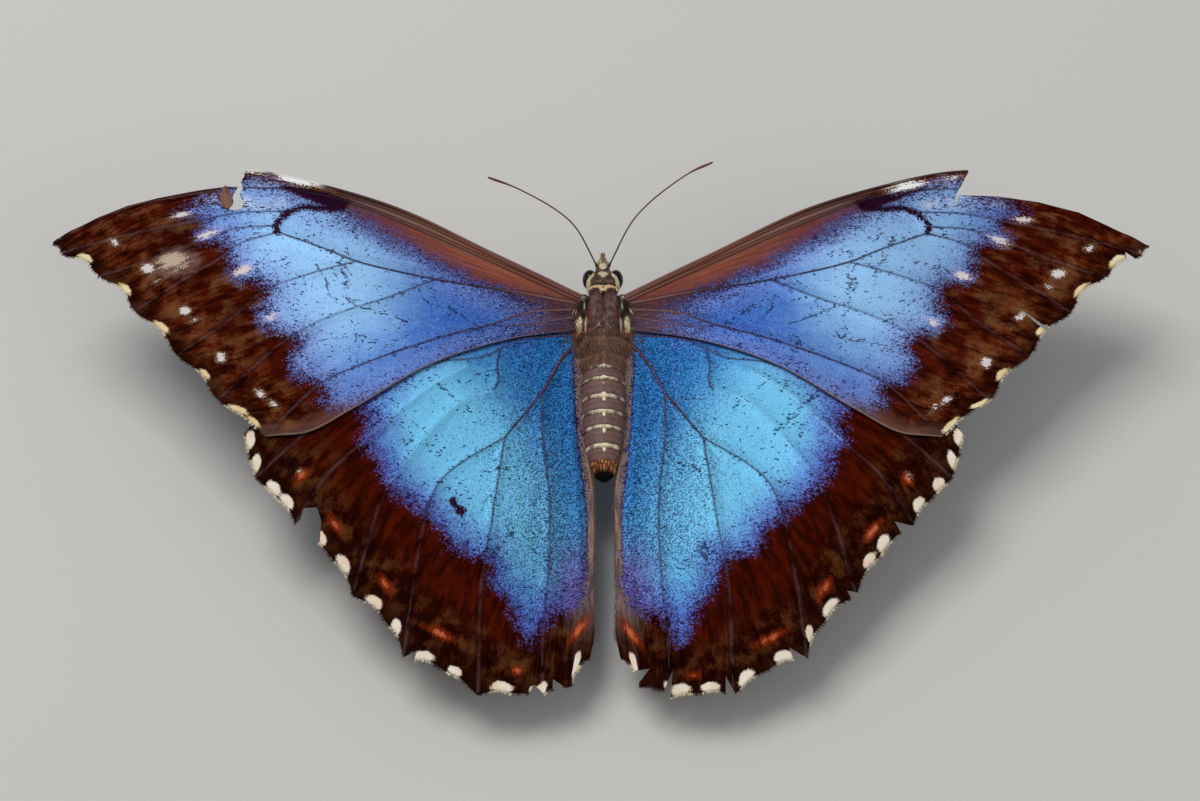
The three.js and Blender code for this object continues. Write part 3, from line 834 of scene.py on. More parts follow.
def wing_upper(name, look):
    finish = Finish(name, Roughness=0.5, Specular_IOR_Level=0.01)
    place = finish.attribute("plan")
    across, forward, _ = finish.parts(place)
    grain = finish.attribute("grain")
    any_vein, inset, from_costa = finish.parts(finish.attribute("lines"))
    white, orange, dark = finish.parts(finish.attribute("marks"))
    blue, sheen_and_frost, from_vein = finish.parts(finish.attribute("field"))
    worn, scratch, costal = finish.parts(finish.attribute("worn"))
    _, _, back = finish.parts(finish.attribute("under"))
    fine = finish.noise(place, 4.5, detail=1.0)
    coarse = finish.noise(place, 0.45, detail=3.0)
    streaks = finish.noise(grain, 1.6, detail=4.0, roughness=0.68)
    noises = fine, coarse, streaks

    ground = brown_ground(finish, look, inset, any_vein, white.most(orange), noises)
    by_root = (1 - across.past(look["root to"], 1.2)) * (forward + 45).past(0, 6)
    if "costal" in look:
        front = 1 - across.past(39, 4)
        warm = finish.blend(streaks.past(0.5, 0.14), look["costal"][0], look["costal"][1])
        warm = finish.blend(across.past(26, 10) * 0.6, warm, "4E2430")
        warm = finish.blend((blue + 0.9).past(0, 0.9) * 0.4, warm, "683848")
        grey = (1 - (from_costa - 1.05).size().past(0.8, 0.35)) * across.past(17, 9)
        warm = finish.blend(grey * 0.5, warm, "8C7A70")
        rim = finish.blend(across.past(26, 8), "7A4C3C", "2E1A14")
        warm = finish.blend((1 - from_costa.past(0.42, 0.2)), warm, rim)
        warm = finish.blend((1 - from_vein.past(0.36, 0.12)) * 0.7, warm, "341812")
        ground = finish.blend(front * costal, ground, warm)
    scattered = finish.grains(place, 5.0)
    noise = (coarse - 0.5) * 2.4 + (fine - 0.5) * 1.8 + (streaks - 0.5) * 2.0 + (scattered - 0.5) * 1.9
    ragged = blue + noise * (1 - costal * 0.75)
    sheet = blue_sheet(finish, look, place, across, ragged, sheen_and_frost, any_vein, from_vein, scratch, noises)
    by_body = (1 - across.past(*look["mauve to"])) * (streaks + fine * 0.4 + by_root * 0.3).past(0.66, 0.14)
    hairy = finish.blend(streaks.past(0.5, 0.16), look["hairy"][0], look["hairy"][1])
    sheet = finish.blend(by_body * 0.85, sheet, hairy)
    ground = finish.blend(by_root * (1 - costal), ground, hairy)

    in_blue = ragged.past(0, 0.45)
    painted = finish.blend(in_blue, ground, sheet)
    if "costal" in look:
        rear = back.past(0.968, 0.025) * across.past(32, 4)
        painted = finish.blend(rear * (0.2 + streaks * 0.5), painted, "7A5A50")
        painted = finish.blend(back.past(0.9955, 0.0015) * 0.6, painted, "A08878")
    solid = (dark + (fine - 0.5) * 0.9 + (coarse - 0.5) * 0.9 + (scattered - 0.5) * 0.5).past(0.0, 0.14)
    painted = finish.blend(solid, painted, finish.blend(coarse, "0E0412", "34102C"))
    smear = (worn + (coarse - 0.5) * 2.2 + (streaks - 0.5) * 5).past(-0.3, 0.8)
    painted = finish.blend(smear * 0.65, painted, finish.blend(coarse, "5E4450", "8A6A58"))
    rubbed = (worn + (fine - 0.5) * 1.6 + (streaks - 0.5) * 5).past(0.9, 0.4)
    painted = finish.blend(rubbed * 0.9, painted, finish.blend(fine, "B89C84", "EAD8BC"))
    ember = orange + (fine - 0.5) * 0.5 + (streaks - 0.5) * 1.2
    painted = finish.blend(ember.past(-0.05, 0.34) * 0.85, painted, "7E2A0E")
    painted = finish.blend(ember.past(0.36, 0.22) * 0.9, painted, "D8704A")
    by_edge = 1 - inset.past(1.9, 0.5)
    torn_edge = ((fine - 0.5) * 0.6 + (streaks - 0.5) * 1.5 + (scattered - 0.5) * 0.3) * (1 - by_edge * 0.7)
    chalk = white + torn_edge
    halo = finish.blend(in_blue, "7A5C40", "9A98D0")
    painted = finish.blend(chalk.past(-0.12, 0.24) * (1 - by_edge) * 0.5, painted, halo)
    chalk = chalk + by_edge * 0.1
    pale = finish.blend(from_costa.past(2, 0.5), "FFFFFF", "E8DEDC")
    cream = finish.blend(coarse.past(0.5, 0.2), look["cream"][0], look["cream"][1])
    core = chalk.past(0.24 - by_edge * 0.06, 0.14)
    painted = finish.blend(core, painted, finish.blend(by_edge, pale, cream))
    scales = finish.cells(finish.stretched(place, (7.5, 7.5, 1)), 1.0)
    finish.surface(
        Base_Color=painted,
        Metallic=ragged.past(0.6, 0.8) * (1 - core) * 0.35,
        Roughness=0.66 - ragged.past(0.6, 0.8) * 0.22,
        Normal=finish.bump(scales * 0.6 + fine * 0.8 + streaks * 1.5, 0.05, 0.6),
    )
    return finish


FORE_LOOK = {
    "dark": "1E0400", "brown": "64220A", "red": ("300802", "581604"), "ochre": "7E5634",
    "costal": ("864028", "A66444"), "hairy": ("38202C", "6A463E"), "root to": 7, "mauve to": (11, 4),
    "deep": "3262BA", "bright": "93C2EE", "lilac": "7E92D2", "lilac share": 0.7, "violet": "5A4290",
    "pepper": "1A2256", "peppered to": (15, 12), "fleck heading": 0.35, "cream": ("FFF0C8", "F2CC8C"),
}
HIND_LOOK = {
    "dark": "180300", "brown": "3A0E04", "red": ("2E0700", "561402"), "ochre": "603C1E",
    "hairy": ("64504C", "A08678"), "root to": 4.6, "mauve to": (1.8, 1.2),
    "deep": "2A74BC", "bright": "72C0E8", "lilac": "5560BC", "lilac share": 0.9, "violet": "6A449C",
    "pepper": "101C40", "peppered to": (14, 8), "fleck heading": -0.6, "cream": ("FFF4E2", "F8DEC2"),
}

# %% [markdown]
# The underside isn't seen by the camera, so it follows the species: brown, watered with darker and paler
# waves, with a row of yellow-ringed eyespots and fine pale lines inside the margin.


# %% Under finish of the wings
def wing_under(name):
    finish = Finish(name, Roughness=0.62)
    place = finish.attribute("plan")
    grain = finish.attribute("grain")
    from_vein, inset, _ = finish.parts(finish.attribute("lines"))
    ring, out, _ = finish.parts(finish.attribute("under"))
    fine = finish.noise(place, 4.5, detail=1.0)
    coarse = finish.noise(place, 0.3, detail=3.0)
    streaks = finish.noise(grain, 1.3, detail=3.0)
    waves = ((out * 9 + coarse * 4.5) * 2.2).wave()
    ground = finish.blend(waves.past(0, 0.8), "4A2C1A", "7C5A3E")
    ground = finish.blend(streaks.past(0.52, 0.2) * 0.5, ground, "9A8468")
    pale_band = 1 - (inset + (coarse - 0.5) * 1.2 - 7.2).size().past(0.7, 0.5)
    ground = finish.blend(pale_band * 0.7, ground, "B8A88E")
    lines = 1 - (inset - 2.2).size().past(0.28, 0.12)
    rust = 1 - (inset - 1.2).size().past(0.25, 0.12)
    ground = finish.blend(lines * 0.8, ground, "C2AC8C")
    ground = finish.blend(rust * 0.8, ground, "9A4A22")
    ground = finish.blend((1 - from_vein.past(0.3, 0.2)) * 0.5, ground, "3A2010")
    painted = finish.blend(1 - ring.past(1.12, 0.06), ground, "2A160C")
    painted = finish.blend(1 - ring.past(0.95, 0.05), painted, "C89A34")
    painted = finish.blend(1 - ring.past(0.74, 0.05), painted, "120A08")
    painted = finish.blend((1 - ring.past(0.4, 0.14)) * fine.past(0.45, 0.1), painted, "5A6A88")
    painted = finish.blend(1 - ring.past(0.15, 0.05), painted, "F2EEE6")
    scales = finish.cells(finish.stretched(place, (7.5, 7.5, 1)), 1.0)
    finish.surface(Base_Color=painted, Normal=finish.bump(scales * 0.6 + fine, 0.05, 0.6))
    return finish


# %% [markdown]
# Veins and the wing's rim are bare, dark and a little shiny. Where the field is brown they have lost their
# scales and look greyish, and fallen blue scales cling to them elsewhere.


# %% Vein finish
def vein_finish():
    finish = Finish("veins", Roughness=0.5, Specular_IOR_Level=0.25)
    place = finish.attribute("plan")
    across, forward, _ = finish.parts(place)
    blue, _, _ = finish.parts(finish.attribute("field"))
    tone, _, _ = finish.parts(finish.attribute("vein"))
    fine = finish.noise(place, 5.0, detail=1.0)
    coarse = finish.noise(place, 0.5, detail=2.0)
    in_blue = blue.past(0.5, 1.5)
    horn = finish.blend(coarse.past(0.5, 0.2), "1E1024", "3E2234")
    by_body = finish.blend(forward.past(-4.5, 1.0), "4E2A38", "7E5444")
    horn = finish.blend((1 - tone.past(0.3, 0.3)), horn, "6E9AD0")
    white, _, dark = finish.parts(finish.attribute("marks"))
    rubbed = finish.blend(coarse, "2A110C", "5A4040")
    painted = finish.blend(in_blue, rubbed, horn)
    front = (forward - across * 0.42 + 2).past(0, 1) * (1 - across.past(28, 8))
    painted = finish.blend((1 - across.past(12, 4)).most(front) * 0.9, painted, by_body)
    painted = finish.blend(white.past(-0.1, 0.2), painted, "F4EEE8")
    clinging = (fine + coarse * 0.5 - tone * 0.1).past(0.78, 0.05) * in_blue
    painted = finish.blend(clinging * 0.8, painted, "4E7AC4")
    painted = finish.blend(dark.past(-0.3, 0.2), painted, "100506")
    finish.surface(Base_Color=painted, Normal=finish.bump(fine, 0.03, 0.5))
    return finish


# %% [markdown]
# The draped sheet gets its thickness from a Solidify modifier, whose second finish is the underside. The
# veins are curves with a round bevel that thins outwards, turned to mesh and joined on. A wing keeps its
# own texture map: its upper face fills one half of the square and its lower face the other.

# %% Draping, thickening and joining
SHEET_THICKNESS = 0.13


def settled(obj):
    """The mesh of an object with its modifiers and bevels worked out, and the object removed."""
    bpy.context.scene.collection.objects.link(obj)
    bpy.context.view_layer.update()
    graph = bpy.context.evaluated_depsgraph_get()
    mesh = bpy.data.meshes.new_from_object(
        obj.evaluated_get(graph), preserve_all_data_layers=True, depsgraph=graph
    )
    bpy.data.objects.remove(obj)
    return mesh


def tube_curve(name, lines, bevel_sides=2):
    """One curve object of round tubes; each line is its points and the radius at each."""
    data = bpy.data.curves.new(name, "CURVE")
    data.dimensions = "3D"
    data.bevel_depth = 1.0
    data.bevel_resolution = bevel_sides
    data.use_fill_caps = True
    for points, radii in lines:
        spline = data.splines.new("POLY")
        spline.points.add(len(points) - 1)
        spline.points.foreach_set("co", np.column_stack([points, np.ones(len(points))]).ravel())
        spline.points.foreach_set("radius", radii)
    return bpy.data.objects.new(name, data)


def joined(*meshes):
    """One mesh of several, keeping their attributes."""
    bm = bmesh.new()
    for mesh in meshes:
        bm.from_mesh(mesh)
    return as_mesh(bm, meshes[0].name)


def map_wing(mesh, plan, upward):
    """Lays the plan out in two halves of the OFBake map: upper faces below, lower faces above."""
    layer = mesh.uv_layers.new(name="OFBake")
    corners = np.empty(len(mesh.loops), int)
    mesh.loops.foreach_get("vertex_index", corners)
    spots = np.empty(len(mesh.vertices) * 3, np.float32)
    mesh.attributes["plan"].data.foreach_get("vector", spots)
    spots = spots.reshape(-1, 3)[:, :2]
    ends = np.array(plan["vein_ends"] + plan["leading"] + plan["root"])
    low, high = ends.min(0) - 1.5, ends.max(0) + 1.5
    if plan is HINDWING:
        spots, low, high = spots[:, ::-1], low[::-1], high[::-1]
    share = (spots - low) / (high - low)
    share[:, 1] = 0.01 + 0.48 * share[:, 1]
    starts = np.empty(len(mesh.polygons), int)
    totals = np.empty(len(mesh.polygons), int)
    mesh.polygons.foreach_get("loop_start", starts)
    mesh.polygons.foreach_get("loop_total", totals)
    uv = share[corners]
    uv[:, 1] += 0.5 * np.repeat(~upward, totals)
    layer.data.foreach_set("uv", uv.astype(np.float32).ravel())


def veins_of(plan, side, damage):
    """The veins that the tears have left, as tubes with the wing's fields stored in them."""
    lines = []
    edge = even_curve([plan["root"][0], *plan["leading"], plan["vein_ends"][0]], np.linspace(0, 1, 170))
    paths = [(edge, *((0.32, 0.11) if plan is FOREWING else (0.2, 0.09)), 0.6)]
    paths += [(vein_line(path), *rest) for path, *rest in plan["veins"].values()]
    for line, thick, thin, _ in paths:
        kept = untorn(line, damage)
        radii = thick + (thin - thick) * np.linspace(0, 1, len(line)) ** 0.7
        stops = np.flatnonzero(np.diff(kept.astype(int))) + 1
        for run in np.split(np.arange(len(line)), stops):
            if kept[run[0]] and len(run) > 2:
                height = wing_height(plan, line[run], vein_distance(plan, line[run]), np.zeros(len(run)))
                lines.append((np.column_stack([line[run], height]), radii[run]))
    mesh = settled(tube_curve("veins", lines, 1))
    spots = places_of(mesh)[:, :2]
    nearest = np.argmin([distance_to(spots, line[::2]) for line, *_ in paths], axis=0)
    write_vectors(mesh, "vein", np.array([path[3] for path in paths])[nearest][:, None] * np.ones(3))
    half = np.full(len(spots), 0.5)
    write_fields(mesh, wing_fields(plan, side, spots, half, half))
    return mesh


def make_wing(name, plan, side, finishes):
    mesh = flat_sheet(name, plan)
    spots = places_of(mesh)[:, :2]
    out = np.array([value.value for value in mesh.attributes["out"].data])
    back = np.array([value.value for value in mesh.attributes["back"].data])
    write_fields(mesh, wing_fields(plan, side, spots, out, back))
    put_places(mesh, np.column_stack([spots, wing_height(plan, spots, vein_distance(plan, spots), out)]))
    sheet = bpy.data.objects.new(name, mesh)
    for _ in range(2):
        mesh.materials.append(None)
    thicken = sheet.modifiers.new("thickness", "SOLIDIFY")
    thicken.thickness = SHEET_THICKNESS
    thicken.offset = 0
    thicken.material_offset = 1
    solid = settled(sheet)
    solid.materials.clear()
    sheet_faces = len(solid.polygons)
    slots = np.zeros(sheet_faces, int)
    solid.polygons.foreach_get("material_index", slots)
    veins = veins_of(plan, side, damage_of(name, plan))
    whole = joined(solid, veins)
    rim = np.concatenate([slots, np.full(len(veins.polygons), 2)])
    whole.polygons.foreach_set("material_index", rim)
    normals = np.array([face.normal.z for face in whole.polygons])
    map_wing(whole, plan, normals > -0.05)
    places = places_of(whole)
    places[:, 0] *= side
    put_places(whole, places)
    if side < 0:
        whole.flip_normals()
    hand_over("wing_" + name, whole, finishes, [name])


veins_look = vein_finish()
fore_finishes = [wing_upper("fore_wing_upper", FORE_LOOK), wing_under("fore_wing_under"), veins_look]
hind_finishes = [wing_upper("hind_wing_upper", HIND_LOOK), wing_under("hind_wing_under"), veins_look]
for word, side in SIDES.items():
    make_wing("forewing_" + word, FOREWING, side, fore_finishes)
    make_wing("hindwing_" + word, HINDWING, side, hind_finishes)

# %% [markdown]
# ## The body
# A butterfly's body is a chain of rounded plates under fur. Head, thorax and abdomen could each be a lathed
# barrel, but then a seam would show at the neck and waist. Instead every bulge is an egg-shaped lump: the
# capsule of the head, the two flight-muscle domes of the thorax with the valley between them, the scutellum
# behind, the tegulae over the wing hinges, the coxae that carry the legs. A voxel Remesh melts them into one
# closed skin, which a few passes of smooth_vert calm down.

# %% Lumps of the body
# across, forward, up, then half sizes in the same order; lumps off the middle line come in pairs
LUMPS = {
    "head capsule": (0, 3.35, 0.3, 2.0, 1.5, 1.5),
    "crown": (0, 3.0, 0.95, 1.3, 1.2, 1.1),
    "brow": (1.28, 2.75, 0.4, 0.98, 1.5, 1.4),
    "face": (0, 4.35, -0.2, 1.05, 0.95, 1.35),
    "frons": (0, 4.85, 0.45, 0.74, 1.05, 0.8),
    "mouth": (0, 4.2, -1.2, 0.75, 0.9, 0.6),
    "neck": (0, 1.7, 0.4, 1.5, 0.9, 1.35),
    "collar": (0.95, 1.25, 1.45, 1.15, 0.62, 0.72),
    "breast": (0, -2.7, -0.35, 2.75, 4.1, 2.6),
    "scutum": (0.95, -1.75, 0.75, 1.55, 3.1, 1.95),
    "scutellum": (0, -5.2, 1.25, 1.75, 1.15, 1.3),
    "hind thorax": (0, -7.0, 0.05, 3.0, 2.4, 2.35),
    "tegula": (2.45, -0.9, 1.45, 0.75, 1.6, 0.8),
    "flank": (1.6, -2.6, -1.4, 1.5, 3.3, 1.4),
    "fore wing root": (3.0, -1.9, 0.55, 1.25, 2.2, 0.55),
    "hind wing root": (2.9, -5.6, 0.1, 1.3, 2.1, 0.55),
    "fore coxa": (0.75, 0.9, -2.0, 0.6, 0.8, 1.1),
    "mid coxa": (1.25, -1.1, -2.9, 0.75, 0.95, 1.15),
    "hind coxa": (1.3, -4.9, -2.9, 0.8, 1.05, 1.1),
    "waist": (0, -9.3, 0.0, 2.9, 2.0, 2.3),
}
ABDOMEN = {"middle": -16.0, "front": 8.8, "rear": 10.0, "width": 2.92, "height": 2.55, "up": -0.15}
SKIN_VOXEL = 0.12
NECK, WAIST = 1.9, -9.9
RING_EDGES = (9.0, 10.6, 12.4, 15.1, 17.35, 19.6, 22.2, 24.4, 27.0)


def add_lump(bm, middle, half):
    made = bmesh.ops.create_uvsphere(bm, u_segments=40, v_segments=24, radius=1.0)
    for vert in made["verts"]:
        vert.co = [m + h * c for m, h, c in zip(middle, half, vert.co)]


def add_abdomen(bm):
    """A barrel that is fullest in front and tapers to a blunt tail."""
    made = bmesh.ops.create_uvsphere(bm, u_segments=64, v_segments=80, radius=1.0)
    for vert in made["verts"]:
        x, y, z = vert.co
        ring = max((1 - y * y) ** 0.5, 1e-6)
        full = 3.4 if y > 0 else 2.1
        reach = ABDOMEN["front"] if y > 0 else ABDOMEN["rear"]
        wide = (1 - abs(y) ** full) ** (1 / full) / ring
        vert.co = (
            x * wide * ABDOMEN["width"],
            ABDOMEN["middle"] + y * reach,
            ABDOMEN["up"] + z * wide * ABDOMEN["height"],
        )


def melted(bm, voxel, passes):
    """One smooth closed skin round everything in a bmesh."""
    lumps = bpy.data.objects.new("lumps", as_mesh(bm, "lumps"))
    remesh = lumps.modifiers.new("melt", "REMESH")
    remesh.mode = "VOXEL"
    remesh.voxel_size = voxel
    skin = settled(lumps)
    bm = bmesh.new()
    bm.from_mesh(skin)
    for _ in range(passes):
        bmesh.ops.smooth_vert(
            bm, verts=bm.verts, factor=0.5, use_axis_x=True, use_axis_y=True, use_axis_z=True
        )
    bm.to_mesh(skin)
    bm.free()
    return skin


bm = bmesh.new()
for middle_x, middle_y, middle_z, *half in LUMPS.values():
    for mirror in (1, -1) if middle_x else (1,):
        add_lump(bm, (mirror * middle_x, middle_y, middle_z), half)
add_abdomen(bm)
skin = melted(bm, SKIN_VOXEL, 7)
print("the skin has", len(skin.vertices), "vertices")

# %% [markdown]
# The fine relief is then moved in by formula: the plates of the abdomen overlap like roof tiles, each lifting
# towards its rear edge and dropping to the next; a furrow runs down the scutum; and the scutellum is set off
# by a groove.


# %% Relief of the skin
def ring_phase(forward):
    """How far back each place is within its plate, from 0 at the front edge to 1 at the rear."""
    return np.interp(-forward, RING_EDGES, np.arange(len(RING_EDGES))) % 1.0


def relieve(places):
    x, y, z = places.T
    on_abdomen = 1 / (1 + np.exp((y - WAIST) / 0.25))
    phase = ring_phase(y)
    lift = 0.16 * (phase - 0.45) * held((1 - phase) / 0.08)
    centre_z = np.where(y < -9, ABDOMEN["up"], z)
    swell = 1 + on_abdomen * lift / 2.6
    x_new = x * swell
    z_new = centre_z + (z - centre_z) * swell
    on_scutum = np.exp(-(((y + 1.7) / 2.6) ** 4)) * held(z)
    z_new -= 0.2 * on_scutum * np.exp(-((x / 0.22) ** 2))
    side_groove = np.exp(-(((np.abs(x) - 2.05) / 0.16) ** 2)) * np.exp(-(((y + 0.8) / 2.2) ** 4)) * held(z)
    z_new -= 0.18 * side_groove
    v_groove = np.exp(-(((y + 4.0 + 0.75 * np.abs(x)) / 0.2) ** 2)) * held(z - 0.8) * (np.abs(x) < 2.4)
    z_new -= 0.14 * v_groove
    return np.column_stack([x_new, y, z_new])


put_places(skin, relieve(places_of(skin)))
print("the abdomen has", len(RING_EDGES) - 1, "plates")

# %% [markdown]
# Skin and fur must carry the same markings, so the pattern of the body is one function of a place: how cream,
# how dark and how rusty it is there. The cream includes a painted highlight on the scutum, and the dark the
# painted shade across the abdomen's plates. The skin asks for every vertex, and each tuft asks once, at its
# root.

# %% Markings of the body
EYE = {"across": 1.75, "forward": 3.7, "up": -0.05, "half": (1.0, 1.36, 1.45)}
# ovals seen from above on both sides: across, forward, half length, half width, heading, strength
PALE_MARKS_AND_HIGHLIGHTS = [
    (0.0, 3.85, 0.62, 0.34, 0, 1.7), (0.0, 3.55, 0.3, 0.4, 0, 1.7), (0.0, 5.0, 0.42, 0.55, 0, 0.7),
    (0.92, 1.75, 0.9, 0.36, -8, 1.2), (0.3, 1.35, 0.4, 0.28, 40, 0.9),
    (2.0, 1.35, 0.6, 0.28, -35, 0.8), (1.6, 3.45, 0.75, 0.32, -57, 1.4), (1.97, 2.45, 0.85, 0.3, -82, 1.4),
    (1.4, -1.0, 1.7, 0.2, 86, 0.25), (2.65, 0.0, 0.35, 0.2, 60, 0.45),
    (2.5, -1.4, 0.6, 0.14, 95, 0.45), (3.15, -3.4, 0.34, 1.2, 0, 1), (2.35, -3.6, 0.12, 1.2, 0, 0.5),
    # the first oval below, a thin stroke of the V on the scutum, is a painted highlight on bare cuticle
    (0.72, -4.25, 0.85, 0.1, -51, 0.38), (0.7, 2.75, 0.6, 0.12, 10, 0.35),
    (2.3, -3.3, 0.25, 0.6, 0, 0.35), (2.9, -8.6, 0.5, 0.9, 0, 0.3), (3.6, -1.2, 0.35, 0.18, 40, 0.6),
]
DARK_MARKS = [
    (0.0, 5.3, 0.08, 0.8, 0, 0.7), (0.9, 3.2, 0.55, 0.5, 20, 0.5), (0.35, 2.3, 0.7, 0.16, 12, 0.9),
    (1.25, 2.3, 0.5, 0.2, -20, 0.8), (2.05, -0.6, 0.24, 1.8, 6, 1), (0.0, -0.8, 0.12, 2.4, 0, 0.6),
    (0.9, 1.0, 0.6, 0.22, 0, 0.8), (2.7, -2.3, 0.4, 0.4, 0, 0.8), (2.75, -1.0, 0.45, 1.1, 0, 0.9),
    (2.2, -4.9, 0.4, 0.3, 30, 0.7), (3.1, -5.6, 0.45, 0.35, 0, 0.9), (1.5, 3.95, 0.4, 0.5, 0, 0.6),
    (1.7, -7.0, 0.5, 0.4, 0, 0.35),
]
RUST_MARKS = [
    (1.75, -2.5, 0.4, 0.9, 10, 0.5), (1.0, 1.6, 1.2, 0.6, 0, 0.6), (3.1, -4.6, 0.9, 0.9, 0, 0.6),
    (2.9, -1.6, 0.3, 0.5, 0, 0.4), (1.3, 3.2, 0.3, 0.5, -50, 0.35),
]


def marked(spots, marks):
    """The strongest mark at each place, fading over its rim."""
    depth = np.zeros(len(spots))
    for across, forward, half_x, half_y, heading, strength in marks:
        turn = radians(heading)
        x, y = np.abs(spots[:, 0]) - across, spots[:, 1] - forward
        along = (x * cos(turn) + y * sin(turn)) / half_x
        beside = (y * cos(turn) - x * sin(turn)) / half_y
        depth = np.maximum(depth, strength * held(2.4 * (1.15 - np.hypot(along, beside))))
    return depth


def near_eye(places):
    """How far each place is from the nearer eye's middle, counted in eyes."""
    x, y, z = places.T
    way = np.column_stack([np.abs(x) - EYE["across"], y - EYE["forward"], z - EYE["up"]])
    return np.linalg.norm(way / EYE["half"], axis=1)


def body_fields(places):
    """What the body's finishes read: the place itself, and how cream, dark and rusty it is."""
    x, y, z = places.T
    above = held((z + 0.2) / 0.6)
    # the pale marks, with one painted highlight among them: the V stroke on the scutum
    cream = marked(places, PALE_MARKS_AND_HIGHLIGHTS) * above
    dark = marked(places, DARK_MARKS) * above
    rust = marked(places, RUST_MARKS) * above

    orbit = held(1 - np.abs(near_eye(places) - 1.05) / 0.14) * (y > NECK) * (z > -1.2)
    cream = np.maximum(cream, held(1.6 * orbit))
    cheeks = held((y - 4.2) / 0.5) * held(1 - np.abs(x) / 1.2) * held((0.6 - z) / 0.5)
    cream = np.maximum(cream, 0.5 * cheeks)

    phase = ring_phase(y)
    on_abdomen = (y < WAIST) & (y > -24.2)
    near_middle = np.exp(-((x / 1.5) ** 2))
    ring = held(1.6 * (1 - np.abs(phase - 0.93) / (0.06 + 0.05 * near_middle + 0.03 * (y < -18))))
    ring *= held(0.4 + 0.5 * near_middle + 0.2 * np.sin(5 * x + 2 * y) - 0.3 * (y > -11)) * (y > -23.5)
    middle_spot = held(1.6 - np.hypot(x / 0.2, (phase - 0.1) / 0.17)) * (y < -13) * 0.75
    bump_spot = held(1.6 - np.hypot(x / 0.3, (phase - 0.84) / 0.1)) * (y > -16) * 0.6
    spots = np.maximum(middle_spot, bump_spot) * (z > 0)
    cream = np.where(on_abdomen, np.maximum(ring * held((z + 1.1) / 0.8), spots), cream)
    # painted shade across each plate of the abdomen: darkest at its front edge, where it tucks under the
    # plate before, with thinner bands further back; it is stored with the dark marks
    shaded = 0.8 * held(1 - phase / 0.16) + 0.5 * held(1 - np.abs(phase - 0.78) / 0.09)
    shaded += 0.25 * held(1 - np.abs(phase - 0.4) / 0.1)
    dark = np.where(on_abdomen, shaded * (z > -1), dark)
    belly = held((-1.2 - z) / 0.6) * (y < -9.5)
    cream = np.maximum(cream, 0.3 * belly)
    rust = np.where(y < -23.7, held((-23.7 - y) / 0.3), rust)
    dotted = np.sin(9 * x + 3 * y) * np.sin(5 * x - 9 * y) > 0.3
    cream = np.where(y < -23.9, 0.6 * dotted * (y > -24.7), cream)
    dark = np.where(y < -24.6, 1.2 * held((-24.6 - y) / 0.25), dark)
    return {"place": places, "pelt": np.column_stack([cream, dark, rust])}


print("the body has", len(PALE_MARKS_AND_HIGHLIGHTS), "pale marks on each side")

# %% [markdown]
# The skin's finish: a matt grey-brown with a mauve cast, warmer on the hind thorax, mottled finely as if
# with worn scales. The fur uses the same colours, lightened towards each lock's tip, and every lock has a
# tone of its own.


# %% Skin and fur finish
def pelt_colours(finish):
    place = finish.attribute("place")
    _, forward, up = finish.parts(place)
    cream, dark, rust = finish.parts(finish.attribute("pelt"))
    mottle = finish.noise(place, 1.6, detail=3.0)
    fine = finish.noise(place, 9.0, detail=1.0)
    mauve = finish.blend(mottle, "4C332F", "967068")
    furry = finish.blend(mottle, "5C4033", "A2765F")
    scutum = finish.blend(mottle.past(0.5, 0.2), "321F1E", "7A574C")
    behind = 1 - forward.past(-5.4, 0.7)
    tail = 1 - forward.past(-10, 0.3)
    ground = finish.blend(behind, scutum, furry)
    ground = finish.blend(tail, ground, mauve)
    ground = finish.blend((1 - up.past(-1.2, 0.6)) * 0.6, ground, "8A7358")
    ground = finish.blend(rust * 0.9, ground, "84320E")
    # dark marks, and the painted shade across the abdomen's plates
    ground = finish.blend(dark * 0.95, ground, "070405")
    pale = finish.blend(mottle, "FFFAE2", "F8DCA6")
    pale = finish.blend(rust, pale, "D8A45C")
    # the pale marks, with the painted highlight on the scutum among them
    creamy = (cream + (fine - 0.5) * 0.3).past(0.42, 0.2)
    ground = finish.blend(creamy, ground, pale)
    return ground, fine, mottle, creamy.most(dark)


def skin_finish():
    finish = Finish("body_skin", Roughness=0.48, Specular_IOR_Level=0.35)
    ground, fine, mottle, _ = pelt_colours(finish)
    height = fine + mottle * 1.5
    finish.surface(Base_Color=ground, Normal=finish.bump(height, 0.06, 0.7))
    return finish


def fur_finish(name, tip_share=0.28):
    finish = Finish(name, Roughness=0.6, Specular_IOR_Level=0.25)
    ground, _, _, marking = pelt_colours(finish)
    along, tone, _ = finish.parts(finish.attribute("tuft"))
    lit = finish.blend(along * tip_share * (1 - marking * 0.8), ground, "C8A68A")
    lit = finish.blend((0.5 - tone) * (1.1 - marking * 0.7), lit, "1C120D")
    finish.surface(Base_Color=lit)
    return finish


write_fields(skin, body_fields(places_of(skin)))
skin_corners = places_of(skin)
skin_normals = np.array([vert.normal for vert in skin.vertices])
hand_over("body_skin", skin, [skin_finish()], ["head", "thorax", "abdomen"])

# %% [markdown]
# ## The coat
# Fur is thousands of small solid locks. One lock is modelled: a three-sided cone, cut by two bisect_planes so
# that it can curve. Copies are then placed, turned, bent and coloured all at once with arrays, because an
# operator call for each would be slow, and joined as one mesh. Each lock's corner of the OFBake map is a tiny
# patch at its root's place on an unwrap of the surface it grows from.

# %% One lock, and a coat of them
OFBAKE_PATCH = 0.003


